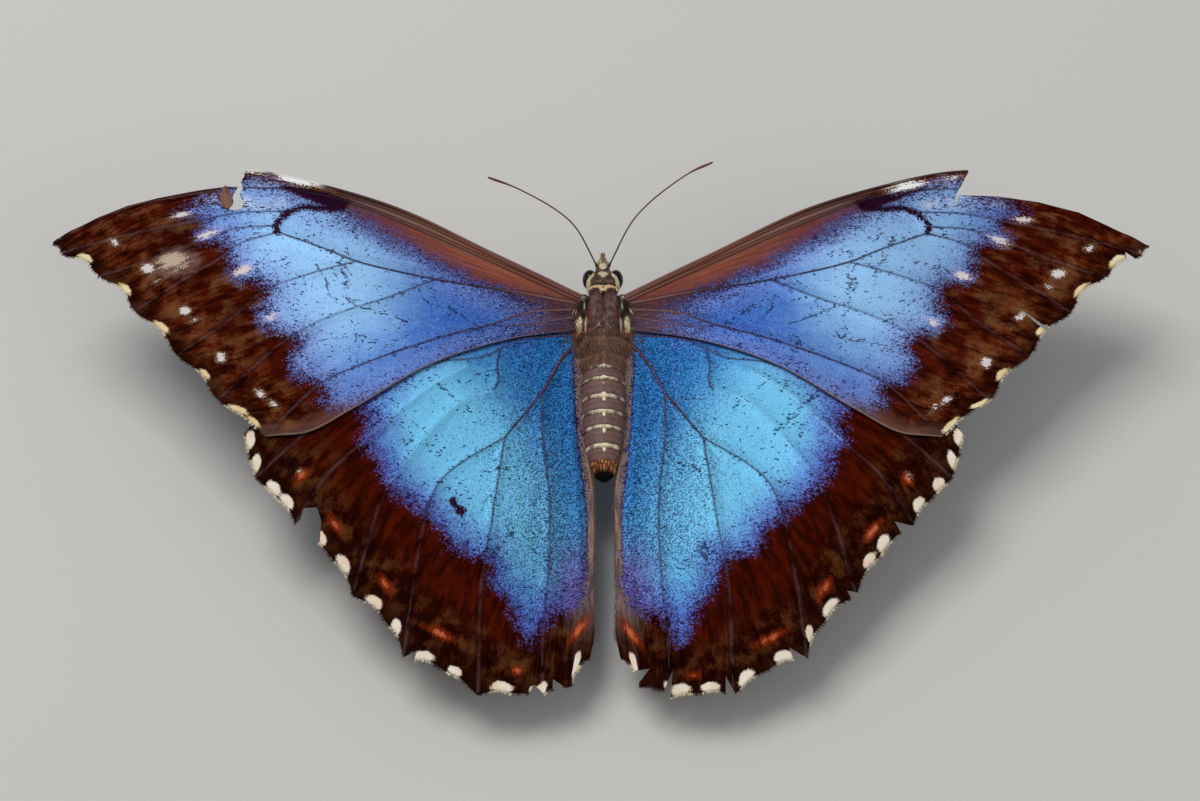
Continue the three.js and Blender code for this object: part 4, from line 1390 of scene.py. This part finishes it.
def lock_shape(cuts=(0.34, 0.7)):
    """A closed cone of unit length and width along Z, as its corners and faces."""
    bm = bmesh.new()
    bmesh.ops.create_cone(
        bm, cap_ends=True, cap_tris=False, segments=3, radius1=0.5, radius2=0.05, depth=1.0
    )
    bmesh.ops.translate(bm, verts=bm.verts, vec=(0, 0, 0.5))
    for height in cuts:
        everything = [*bm.verts, *bm.edges, *bm.faces]
        bmesh.ops.bisect_plane(bm, geom=everything, dist=1e-6, plane_co=(0, 0, height), plane_no=(0, 0, 1))
    bmesh.ops.triangulate(bm, faces=bm.faces)
    bm.verts.index_update()
    corners = np.array([vert.co for vert in bm.verts])
    faces = np.array([[vert.index for vert in face.verts] for face in bm.faces])
    bm.free()
    return corners, faces


LOCK = lock_shape()
SCALE = lock_shape(cuts=(0.5,))


def unit(vectors):
    return vectors / np.maximum(np.linalg.norm(vectors, axis=1), 1e-9)[:, None]


def lock_sizes(length, width, thickness):
    return np.column_stack([length, width + 0 * length, thickness + 0 * length])


def make_coat(
    name, roots, up, lie, size, bend, fields, unwrap, finish, belly=0.0, place=INSECT, lock=LOCK
):
    """A coat of locks. up and lie give each lock's surface normal and the way its tip points, size its
    length, width and thickness, bend how far its tip droops, and belly how much wider its middle is."""
    shape, shape_faces = lock
    count = len(roots)
    up = unit(up)
    aim = unit(lie)
    flank = unit(np.cross(aim, up))
    top = np.cross(flank, aim)
    leaf = 1 + belly * np.sin(pi * held(shape[:, 2]))
    across = shape[:, 0] * leaf
    through = shape[:, 1] * leaf
    length, width, thickness = (size[:, i][:, None, None] for i in range(3))
    along = shape[:, 2][None, :, None]
    places = (
        roots[:, None, :]
        + aim[:, None, :] * along * length
        + flank[:, None, :] * across[None, :, None] * width
        + top[:, None, :] * (through[None, :, None] * thickness - bend * along**2 * length)
    )
    faces = (shape_faces[None] + (np.arange(count) * len(shape))[:, None, None]).reshape(-1, 3)
    mesh = bpy.data.meshes.new(name)
    mesh.vertices.add(count * len(shape))
    put_places(mesh, places.reshape(-1, 3))
    mesh.loops.add(faces.size)
    mesh.loops.foreach_set("vertex_index", faces.ravel())
    mesh.polygons.add(len(faces))
    mesh.polygons.foreach_set("loop_start", np.arange(0, faces.size, 3))
    mesh.update()
    mesh.validate()
    for field, values in fields.items():
        write_vectors(mesh, field, np.repeat(values, len(shape), axis=0))
    rng = np.random.default_rng(count)
    tone = np.repeat(rng.random(count), len(shape))
    write_vectors(mesh, "tuft", np.column_stack([np.tile(shape[:, 2], count), tone, tone]))
    patch = np.column_stack([shape[:, 0] + 0.5, shape[:, 2]]) * OFBAKE_PATCH
    spots = (unwrap[:, None, :] + patch[None]).reshape(-1, 2)
    layer = mesh.uv_layers.new(name="OFBake")
    layer.data.foreach_set("uv", spots[faces.ravel()].astype(np.float32).ravel())
    hand_over(name, mesh, [finish], place=place)


def body_unwrap(places):
    """The body unrolled: round it from the belly one way, nose to tail the other."""
    around = np.arctan2(places[:, 0], places[:, 2]) / (2 * pi) + 0.5
    along = (6.0 - places[:, 1]) / 34.0
    return np.clip(np.column_stack([around, along]), 0.003, 0.99)


print("a lock has", len(LOCK[1]), "triangles and a scale", len(SCALE[1]))

# %% [markdown]
# Roots are sown over the skin at random, as thick as a rule for each region says, and each lock is combed
# back over the plates, a little outwards, and raised by its region's rule. The head's fur is short, the
# hind thorax and the wing roots are the shaggiest, and the abdomen wears flat scales, sown thicker and
# raised at the rear edge of each plate.


# %% Fur of the body
def sow(count, weight, seed):
    """Picks places and normals on the skin, more where weight is high."""
    rng = np.random.default_rng(seed)
    chance = weight(skin_corners)
    picked = rng.choice(len(skin_corners), size=count, p=chance / chance.sum())
    jitter = rng.normal(0, 0.05, (count, 3))
    normals = skin_normals[picked]
    jitter -= normals * np.sum(jitter * normals, axis=1)[:, None]
    return skin_corners[picked] + jitter - normals * 0.03, normals, rng


def comb(normals, backwards, lift, rng, spread):
    """The way each lock points: along the skin towards backwards, lifted off it, and a little astray."""
    flat = backwards - normals * np.sum(backwards * normals, axis=1)[:, None]
    return unit(unit(flat) + normals * np.reshape(lift, (-1, 1)) + rng.normal(0, spread, normals.shape))


def head_weight(places):
    y = places[:, 1]
    return np.where((y > NECK) & (near_eye(places) > 1.02), 1.0, 0.0)


def thorax_weight(places):
    x, y, z = places.T
    on_scutum = (z > 1.2) & (y > -4.5)
    return np.where((y <= 2.0) & (y > -10.3), np.where(on_scutum, 0.9, 1.25), 0.0) * (np.abs(x) < 3.9)


def abdomen_weight(places):
    y = places[:, 1]
    return np.where(y <= WAIST, 1.0 + 0.9 * (ring_phase(y) > 0.8), 0.0)


fur = fur_finish("body_fur")
scaly = fur_finish("abdomen_scales", 0.12)

roots, normals, rng = sow(7500, head_weight, 11)
back = np.tile([0.0, -1.0, -0.15], (len(roots), 1))
forwards = roots[:, 1] > 4.3
back[forwards] = (0.0, 0.5, -0.9)
length = np.where(forwards, 0.45, 0.34) * rng.uniform(0.7, 1.3, len(roots))
make_coat(
    "fur_head", roots, normals, comb(normals, back, 0.35, rng, 0.14), lock_sizes(length, 0.13, 0.04), 0.25,
    body_fields(roots), body_unwrap(roots), fur, belly=0.5,
)

roots, normals, rng = sow(9400, thorax_weight, 12)
back = np.column_stack([0.25 * np.sign(roots[:, 0]), -np.ones(len(roots)), np.full(len(roots), -0.1)])
shag = held((-3.5 - roots[:, 1]) / 3) * np.clip((roots[:, 1] + 10.4) / 2, 0.1, 1)
shag += held((np.abs(roots[:, 0]) - 2.2) / 1.0)
length = (0.45 + 0.55 * held(shag)) * rng.uniform(0.7, 1.3, len(roots))
lie = comb(normals, back, 0.22 + 0.25 * shag, rng, 0.16)
make_coat(
    "fur_thorax", roots, normals, lie, lock_sizes(length, 0.11, 0.05), 0.3,
    body_fields(roots), body_unwrap(roots), fur, belly=0.3,
)

for end, seed in (("front", 13), ("rear", 14)):
    half = 1 if end == "front" else -1
    roots, normals, rng = sow(12000, lambda p: abdomen_weight(p) * (half * (p[:, 1] + 17.5) > 0), seed)
    back = np.tile([0.0, -1.0, -0.05], (len(roots), 1))
    tail = roots[:, 1] < -24.4
    rear_edge = ring_phase(roots[:, 1]) > 0.86
    length = np.where(tail, 0.8, np.where(rear_edge, 0.3, 0.34)) * rng.uniform(0.7, 1.2, len(roots))
    size = lock_sizes(length, np.where(tail, 0.09, 0.13), np.where(tail, 0.06, 0.035))
    lift = np.where(tail, 0.35, np.where(rear_edge, 0.22, 0.1))
    make_coat(
        "scales_abdomen_" + end, roots, normals, comb(normals, back, lift, rng, 0.07), size, 0.15,
        body_fields(roots), body_unwrap(roots), scaly, belly=0.7, lock=SCALE,
    )

# %% [markdown]
# ## Fringes and hair of the wings
# A fringe of short, close scales runs round each wing's margin, cream in the hollows and dark at the vein
# ends. Hair streams off the body over the wing roots, and the inner edge of each hind wing, which folds
# down along the abdomen, is furred too. All are locks, rooted at places found by the wing's own plan.
# Beside the left fore wing's tear a scrap of dry membrane has lost its scales and bent up.


# %% Fringe
FRINGE_SPACING = 0.07
FLAT_UP = [0.0, 0.0, 1.0]


def wing_roots(plan, side, spots, out):
    """Plan places draped on the wing and put on its side."""
    height = wing_height(plan, spots, vein_distance(plan, spots), out)
    return np.column_stack([side * spots[:, 0], spots[:, 1], height])


def wing_unwrap(spots):
    """A corner of the map for each place: 80 by 82 millimetres of plan fill the square."""
    return np.clip(np.column_stack([spots[:, 0] / 80, (spots[:, 1] + 60) / 82]), 0.01, 0.99)


def make_fringe(name, plan, side, seed):
    rng = np.random.default_rng(seed)
    cells = len(plan["vein_ends"]) - 1
    margin = margin_at(plan, np.linspace(0, 1, 300))[0]
    margin_length = np.sum(np.linalg.norm(np.diff(margin, axis=0), axis=1))
    shares = np.sort(rng.uniform(0.004, 0.996, int(margin_length / FRINGE_SPACING)))
    edge, outward = margin_at(plan, shares)
    kept = untorn(edge - outward * 0.1, damage_of(name, plan))
    edge, outward, shares = edge[kept], outward[kept], shares[kept]
    count = len(edge)
    spots = edge - outward * rng.uniform(0.05, 0.2, count)[:, None]
    fields = wing_fields(plan, side, spots, np.ones(count), shares)
    cream = held((fields["marks"][:, 0] + 0.12) / 0.15)
    hollow = np.sin(pi * shares * cells) ** 2
    roots = wing_roots(plan, side, spots, np.ones(count))
    lie = np.column_stack([side * outward[:, 0], outward[:, 1], np.full(count, -0.12)])
    lie += rng.normal(0, 0.16, (count, 3))
    length = rng.uniform(0.3, 0.52, count) + 0.12 * hollow
    pelt = np.column_stack([cream, 0.75 * (1 - cream), 0.2 * (1 - cream)])
    make_coat(
        "fringe_" + name, roots, np.tile(FLAT_UP, (count, 1)), lie, lock_sizes(length, 0.13, 0.05), 0,
        {"place": roots, "pelt": pelt}, wing_unwrap(spots), scaly, belly=0.4,
    )


for word, side in SIDES.items():
    make_fringe("forewing_" + word, FOREWING, side, 51 + side)
    make_fringe("hindwing_" + word, HINDWING, side, 61 + side)


# %% The dry scrap beside the tear
SCRAP = {"across": 50.8, "forward": 14.1, "length": 3.2, "width": 3.4}
bm = bmesh.new()
bmesh.ops.create_grid(bm, x_segments=8, y_segments=16, size=0.5)
beside, along, _ = np.array([vert.co for vert in bm.verts]).T
width = SCRAP["width"] * (0.26 - along**2) ** 0.5 * (0.9 - 0.6 * along) + 0.15 * np.sin(15 * along)
spots = np.column_stack([
    SCRAP["across"] + beside * width + 0.5 * along, SCRAP["forward"] + SCRAP["length"] * along,
])
lift = 0.15 + 0.5 * (along + 0.5) * (0.6 - beside) + 0.2 * (2 * beside) ** 2
for vert, place, up in zip(bm.verts, wing_roots(FOREWING, -1, spots, 0 * along), lift):
    vert.co = place + [0, 0, up]
bmesh.ops.solidify(bm, geom=bm.faces[:], thickness=0.06)
bmesh.ops.recalc_face_normals(bm, faces=bm.faces)
dry = Finish("dry_membrane", Base_Color=colour("80503C"), Roughness=0.6)
hand_over("scrap_left", as_mesh(bm, "scrap"), [dry])


# %% Hair on the wing roots and inner folds
def make_wing_hair(name, plan, side, seed, count, outs, backs, lie, length, pelt):
    """Hair over a patch of a wing, given by ranges of its shares out and back."""
    rng = np.random.default_rng(seed)
    out = outs[0] + (outs[1] - outs[0]) * rng.random(count) ** 1.5
    back = rng.uniform(*backs, count)
    spots = wing_spot(plan, out, back)
    roots = wing_roots(plan, side, spots, out) + [0, 0, SHEET_THICKNESS / 2 - 0.05]
    aim = np.tile([side * lie[0], lie[1], lie[2]], (count, 1)) + rng.normal(0, 0.13, (count, 3)) * [1, 1, 0.5]
    long = rng.uniform(0.6, 1.1, count) * length
    tint = np.tile(pelt, (count, 1)) * rng.uniform(0.4, 1.3, (count, 1))
    make_coat(
        name, roots, np.tile(FLAT_UP, (count, 1)), aim, lock_sizes(long, 0.07, 0.045), 0.12,
        {"place": roots, "pelt": tint}, wing_unwrap(spots), fur, belly=0.2, lock=SCALE,
    )


for word, side in SIDES.items():
    make_wing_hair(
        "hair_fore_root_" + word, FOREWING, side, 71, 1300, (0, 0.045), (0.1, 1),
        (1, -0.35, 0.12), 1.3, (0.15, 0.25, 0.3),
    )
    make_wing_hair(
        "hair_hind_root_" + word, HINDWING, side, 72, 1700, (0, 0.07), (0.2, 1),
        (0.75, -1, 0.1), 1.5, (0.12, 0.25, 0.1),
    )
    make_wing_hair(
        "hair_fold_" + word, HINDWING, side, 73, 4200, (0.03, 0.95), (0.965, 1),
        (-0.5, -1, -0.1), 1.0, (0.25, 0, 0),
    )

# %% [markdown]
# ## Eyes
# A butterfly's eye is half a ball of thousands of facets. A sphere of the right outline is half sunk in the
# skin, dark brown and glossy. Its facets are a cell pattern in the bump, a tenth of a millimetre apart,
# because as geometry they would cost a hundred thousand faces for something the naked eye can't part.


# %% Eyes
FACETS_PER_MM = 9.0


def eye_finish():
    finish = Finish("eye", Roughness=0.18, Specular_IOR_Level=0.22)
    place = finish.attribute("place")
    _, _, up = finish.parts(place)
    facets = finish.cells(place, FACETS_PER_MM)
    cloud = finish.noise(place, 1.4, detail=2.0)
    painted = finish.blend(cloud, "0A0504", "1C0F09")
    painted = finish.blend((1 - up.past(-0.4, 0.5)) * 0.5, painted, "4A3220")
    finish.surface(Base_Color=painted, Coat_Weight=cloud * 0.15, Normal=finish.bump(1 - facets, 0.012, 0.5))
    return finish


eye_look = eye_finish()
for word, side in SIDES.items():
    bm = bmesh.new()
    bmesh.ops.create_icosphere(bm, subdivisions=6, radius=1.0)
    across, forward, up = side * EYE["across"], EYE["forward"], EYE["up"]
    bmesh.ops.scale(bm, verts=bm.verts, vec=EYE["half"])
    bmesh.ops.translate(bm, verts=bm.verts, vec=(across, forward, up))
    mesh = as_mesh(bm, "eye")
    write_vectors(mesh, "place", places_of(mesh))
    hand_over(word + "_eye", mesh, [eye_look], ["eye_" + word])

# %% [markdown]
# ## Feelers and tongue
# A feeler is a chain of some fifty short rings that thickens to a slim club. The tongue is a double pipe,
# coiled like a watch spring under the head. Both are round tubes whose radius changes along a path, which a
# curve with a round bevel gives at once: the rings are a ripple in the radius.


# %% Feelers and tongue
def along_tube(points, count, radius):
    """A tube's points and radii from its path and a rule for the radius at a share of its length."""
    shares = np.linspace(0, 1, count)
    return even_curve(points, shares), np.array([radius(share) for share in shares])


def horn_finish(name, base, tip):
    """Bare horn that changes from base to tip, finely ringed by a darker tone."""
    finish = Finish(name, Roughness=0.35, Specular_IOR_Level=0.4)
    place = finish.attribute("place")
    along, tone, _ = finish.parts(finish.attribute("tuft"))
    fine = finish.noise(place, 6.0, detail=2.0)
    painted = finish.blend(along + (fine - 0.5) * 0.5, base, tip)
    painted = finish.blend(tone * 0.6, painted, "160D0A")
    finish.surface(Base_Color=painted, Normal=finish.bump(fine, 0.02, 0.6))
    return finish


def write_run(mesh, start, end, rings):
    """Stores how far each vertex is from a tube's start to its end, and a ripple of tone for its rings."""
    places = places_of(mesh)
    reach = np.linalg.norm(places - np.array(start), axis=1) / np.linalg.norm(np.subtract(end, start))
    ripple = 0.5 + 0.5 * np.sin(2 * pi * rings * reach)
    write_vectors(mesh, "place", places)
    write_vectors(mesh, "tuft", np.column_stack([reach, ripple, ripple]))


FEELERS = {
    "right": [(0.78, 5.0, 1.5), (4.6, 12.4, 2.2), (11.6, 18.8, 2.5), (15.1, 20.3, 3.2)],
    "left": [(-0.78, 5.0, 1.5), (-4.3, 11.3, 2.4), (-11.1, 16, 2.9), (-15.6, 17.6, 3.6)],
}
FEELER_RINGS = 52


def feeler_radius(share):
    shaft = 0.105 + 0.14 * np.exp(-((share / 0.018) ** 2))
    club = 0.085 * np.exp(-(((share - 0.93) / 0.07) ** 2))
    rings = 1 + 0.09 * sin(2 * pi * FEELER_RINGS * share)
    rounded = min(1, ((1 - share) / 0.012 + 0.02) ** 0.5)
    return (shaft + club) * rings * rounded


feeler_look = horn_finish("feeler", "1C100C", "8A4A38")
for word, path in FEELERS.items():
    mesh = settled(tube_curve("feeler", [along_tube(path, 420, feeler_radius)], 2))
    write_run(mesh, path[0], path[-1], FEELER_RINGS)
    hand_over(word + "_feeler", mesh, [feeler_look], ["antenna_" + word])

TONGUE = {"forward": 5.9, "up": -1.9, "outer": 1.15, "pitch": 0.62, "turns": 1.9, "radius": 0.17}


def tongue_spot(share):
    angle = pi - share * TONGUE["turns"] * 2 * pi
    reach = TONGUE["outer"] - TONGUE["pitch"] * share * TONGUE["turns"] * 0.85
    return (0.0, TONGUE["forward"] + reach * cos(angle), TONGUE["up"] + reach * sin(angle))


def tongue_radius(share):
    return TONGUE["radius"] * (1.15 - 0.6 * share)


coil = [(0.0, 4.4, -1.0), *(tongue_spot(share) for share in np.linspace(0, 1, 40))]
mesh = settled(tube_curve("tongue", [along_tube(coil, 300, tongue_radius)], 3))
write_run(mesh, coil[0], coil[1], 30)
hand_over("tongue", mesh, [horn_finish("tongue", "6A3C22", "3A1E12")], ["proboscis"])

# %% [markdown]
# ## Palps
# Two furred fingers stand up in front of the face and meet in a point. Seen from above they make the insect's
# pale snout. Each is a swelling tube inside, under a coat of cream scales with a brown brush at the tip.

# %% Palps
PALP = [(0.4, 4.7, -1.2), (0.44, 5.6, -0.9), (0.36, 6.1, 0.1), (0.22, 6.45, 0.9), (0.13, 6.65, 1.3)]


def palp_fields(places):
    """Cream in front and above, brown along the outer side and at the tip."""
    x, _, z = places.T
    outer = held((np.abs(x) - 0.6) / 0.2)
    tip = held((z - 0.95) / 0.35)
    dark = np.maximum(outer, tip) * 0.75
    return {"place": places, "pelt": np.column_stack([held(1.4 - 1.4 * dark), dark * 0.7, 0.6 * tip])}


def palp_radius(share):
    """Swelling quickly from the base and narrow at the tip."""
    return 0.1 + 0.34 * sin(pi * min(1, share + 0.18)) ** 0.6


def grow_on(mesh, count, seed, weight=None):
    """Picks root places and normals on a small mesh."""
    mesh.update()
    places = places_of(mesh)
    normals = np.array([vert.normal for vert in mesh.vertices])
    rng = np.random.default_rng(seed)
    chance = np.ones(len(places)) if weight is None else weight(places)
    picked = rng.choice(len(places), size=count, p=chance / chance.sum())
    return places[picked] + rng.normal(0, 0.03, (count, 3)) - normals[picked] * 0.03, normals[picked], rng


palp_skin = skin_finish()
for word, side in SIDES.items():
    path = [(side * x, y, z) for x, y, z in PALP]
    mesh = settled(tube_curve("palp", [along_tube(path, 60, palp_radius)], 4))
    write_fields(mesh, palp_fields(places_of(mesh)))
    roots, normals, rng = grow_on(mesh, 1500, 21)
    hand_over(word + "_palp", mesh, [palp_skin], ["palp_" + word])
    length = rng.uniform(0.28, 0.48, len(roots)) + 0.25 * held(roots[:, 2] - 0.6)
    upwards = np.tile([-0.35 * side, 0.25, 1.0], (len(roots), 1))
    lie = comb(normals, upwards, 0.35, rng, 0.12)
    make_coat(
        "fur_palp_" + word, roots, normals, lie, lock_sizes(length, 0.1, 0.04), 0.15,
        palp_fields(roots), body_unwrap(roots), fur, belly=0.5, lock=SCALE,
    )

# %% [markdown]
# ## Legs
# This family walks on four legs: the front pair is shrunk to two furry brushes folded under the neck. A
# walking leg is a chain of horny tubes that swell at their ends, with pairs of spines down the shin, five
# short foot segments and two claws. Each leg is one joined mesh of bevelled curves. Its feet are modelled
# from the floor up, so this piece alone is placed by the floor's frame.

# %% Legs
MIDLEG = {
    "femur": (
        [(1.5, -0.8, 9.9), (2.3, -0.2, 8.9), (5.4, 1.6, 9.5), (9.1, 3.7, 9.9)], (0.42, 0.36, 0.44, 0.34, 0.3),
    ),
    "tibia": ([(9.1, 3.7, 9.9), (11.1, 5.4, 5.6), (12.6, 6.8, 0.75)], (0.28, 0.27, 0.25, 0.27)),
    "tarsus": (
        [(12.6, 6.8, 0.75), (13.2, 7.4, 0.3), (15.6, 9.6, 0.2), (17.2, 11.2, 0.22)], (0.22, 0.2, 0.2, 0.19),
    ),
}
HINDLEG = {
    "femur": (
        [(1.5, -5.2, 9.3), (2.2, -6, 8.3), (4.8, -8.8, 8.6), (7.85, -12, 8.65)],
        (0.42, 0.36, 0.44, 0.34, 0.3),
    ),
    "tibia": ([(7.85, -12, 8.65), (9.2, -14.5, 4.9), (10.4, -16.8, 0.75)], (0.28, 0.27, 0.25, 0.27)),
    "tarsus": (
        [(10.4, -16.8, 0.75), (10.8, -17.7, 0.3), (12.1, -20.4, 0.2), (13.1, -22.6, 0.22)],
        (0.22, 0.2, 0.2, 0.19),
    ),
}
FORELEG_RADII = (0.4, 0.34, 0.3, 0.26, 0.16)
FORELEG = [(0.9, 1.5, 10.7), (1.3, 3.2, 10.2), (1.5, 4.6, 11.1), (1.1, 6.2, 10.5)]
SPINE_PAIRS = 9
HINGES_UP = 14  # the height of the insect's own origin, from which the finishes count


def rounded(radii, share):
    """A radius read from a list, closed to a point within a few percent of both ends."""
    thick = np.interp(share, np.linspace(0, 1, len(radii)), radii)
    return thick * min(1, (share / 0.03 + 0.02) ** 0.5, ((1 - share) / 0.03 + 0.02) ** 0.5)


def foot_radius(share):
    """Five foot segments, each a little wider at its far end."""
    within = (share * 5) % 1.0
    closed = min(1, (share / 0.03 + 0.02) ** 0.5, ((1 - share) / 0.02 + 0.05) ** 0.5)
    return (0.15 + 0.06 * within**2) * closed


def spike(start, aim, length, thick, curl=(0, 0, 0)):
    """A thin thorn from a place, perhaps curling."""
    shares = np.linspace(0, 1, 6)
    spots = [np.array(start) + np.array(aim) * length * s + np.array(curl) * length * s * s for s in shares]
    return np.array(spots), np.array([thick * (1 - s) + 0.008 for s in shares])


def leg_lines(leg):
    lines = []
    for part in ("femur", "tibia"):
        path, radii = leg[part]
        lines.append(along_tube(path, 60, lambda s, radii=radii: rounded(radii, s)))
    lines.append(along_tube(leg["tarsus"][0], 90, foot_radius))
    shin, _ = along_tube(leg["tibia"][0], SPINE_PAIRS + 2, lambda _: 0)
    down = unit(np.array([shin[-1] - shin[0]]))[0]
    flank = unit(np.cross([down], [[0.0, 0.0, 1.0]]))[0]
    for spot in shin[1:-1]:
        for way in (-1, 1):
            aim = unit(np.array([down * 0.75 + flank * way * 0.6 + np.array([0.1, 0.1, 0.1])]))[0]
            lines.append(spike(spot, aim, 0.75, 0.05))
    for way in (-0.25, 0.25):
        aim = unit(np.array([down + flank * way]))[0]
        lines.append(spike(shin[-1] - down * 0.3, aim, 0.8, 0.06))
    foot, _ = along_tube(leg["tarsus"][0], 11, lambda _: 0)
    run = unit(np.array([foot[-1] - foot[-2]]))[0]
    side_way = np.array([-run[1], run[0], 0.0])
    for spot in foot[3:-1]:
        for way in (-1, 1):
            aim = side_way * way * 0.8 + run * 0.5
            lines.append(spike(spot + (0, 0, 0.05), aim, 0.28, 0.03, (0, 0, -0.25)))
    for way in (-1, 1):
        lines.append(spike(foot[-1] - run * 0.1, run + side_way * way * 0.55, 0.6, 0.075, (0, 0, -0.22)))
    return lines


def leg_fields(places):
    """Brown, paler towards the feet, with cream at the joints."""
    x, _, z = places.T
    pale = held(1 - np.abs(z - 9.2) / 0.5) * (np.abs(x) > 7) * 0.6
    low = held((3 - z) / 4) * 0.3
    pelt = np.column_stack([np.maximum(pale, low), 0.3 + 0 * x, 0.35 + 0 * x])
    return {"place": places - np.array([0, 0, HINGES_UP]), "pelt": pelt}


def comb_along(roots, normals, path, rng, lift):
    """Hair that points down a limb, raised off it."""
    line = even_curve(path, np.linspace(0, 1, 30))
    nearest = np.argmin(np.linalg.norm(roots[:, None] - line[None], axis=2), axis=1)
    down = unit(np.gradient(line, axis=0))[nearest]
    return comb(normals, down, lift, rng, 0.15)


leg_look = skin_finish()
for word, side in SIDES.items():
    for name, leg in (("midleg", MIDLEG), ("hindleg", HINDLEG)):
        mirrored = {}
        for part, (path, radii) in leg.items():
            mirrored[part] = [(side * x, y, z) for x, y, z in path], radii
        mesh = settled(tube_curve("leg", leg_lines(mirrored), 2))
        write_fields(mesh, leg_fields(places_of(mesh)))
        thigh = mirrored["femur"][0]
        roots, normals, rng = grow_on(mesh, 1500, 31, lambda p: np.where(p[:, 2] > 1.5, 1.0, 0.0))
        nodes = [f"{name}_{part}_{word}" for part in leg]
        hand_over(f"{word}_{name}", mesh, [leg_look], nodes, place=FLOOR)
        route = [*thigh, *mirrored["tibia"][0][1:]]
        length = rng.uniform(0.3, 0.6, len(roots))
        lie = comb_along(roots, normals, route, rng, 0.25)
        make_coat(
            f"fur_{name}_{word}", roots, normals, lie, lock_sizes(length, 0.09, 0.03), 0.1, leg_fields(roots),
            body_unwrap(roots * 0.5), fur, belly=0.4, place=FLOOR, lock=SCALE,
        )
    path = [(side * x, y, z) for x, y, z in FORELEG]
    limb = along_tube(path, 80, lambda s: rounded(FORELEG_RADII, s))
    mesh = settled(tube_curve("foreleg", [limb], 2))
    write_fields(mesh, leg_fields(places_of(mesh)))
    roots, normals, rng = grow_on(mesh, 2200, 32)
    hand_over(word + "_foreleg", mesh, [leg_look], ["foreleg_" + word], place=FLOOR)
    length = rng.uniform(0.5, 1.0, len(roots))
    lie = comb_along(roots, normals, path, rng, 0.4)
    make_coat(
        "fur_foreleg_" + word, roots, normals, lie, lock_sizes(length, 0.08, 0.04), 0.2, leg_fields(roots),
        body_unwrap(roots * 0.5), fur, belly=0.3, place=FLOOR, lock=SCALE,
    )

# %% [markdown]
# ## The stage
# A pale floor and soft studio light: a broad light high up in front of the insect and to its left, a weaker
# one behind it on its right, and an even, faintly cool surround, so the colours are the insect's own and
# the shadow stays soft.

# %% Floor and lights
bm = bmesh.new()
bmesh.ops.create_grid(bm, x_segments=1, y_segments=1, size=2.0)
floor_mesh = as_mesh(bm, "floor")
paper = Finish("floor", Base_Color=colour("DAD8D3"), Roughness=0.85)
floor_mesh.materials.append(paper.material)
floor = bpy.data.objects.new("floor", floor_mesh)
bpy.context.scene.collection.objects.link(floor)


LIGHTS_AIM = Vector((0, 0, 0.01))


def studio_light(name, place, size, power):
    data = bpy.data.lights.new(name, "AREA")
    data.size = size
    data.energy = power
    light = bpy.data.objects.new(name, data)
    light.location = place
    light.rotation_euler = (Vector(place) - LIGHTS_AIM).to_track_quat("Z", "Y").to_euler()
    bpy.context.scene.collection.objects.link(light)


studio_light("key", (-0.25, 0.2, 0.75), 0.45, 3.4)
studio_light("fill", (0.5, -0.45, 0.55), 0.6, 0.9)
world = bpy.data.worlds.new("studio")
world.use_nodes = True
world.node_tree.nodes["Background"].inputs["Color"].default_value = colour("F2F4F8")
world.node_tree.nodes["Background"].inputs["Strength"].default_value = 0.3
bpy.context.scene.world = world
bpy.context.scene.view_settings.view_transform = "Standard"
print("the studio has", len(bpy.data.lights), "lights")

# %% [markdown]
# Last, the scene is brought up to date.

# %% Bringing the scene up to date
bpy.context.view_layer.update()
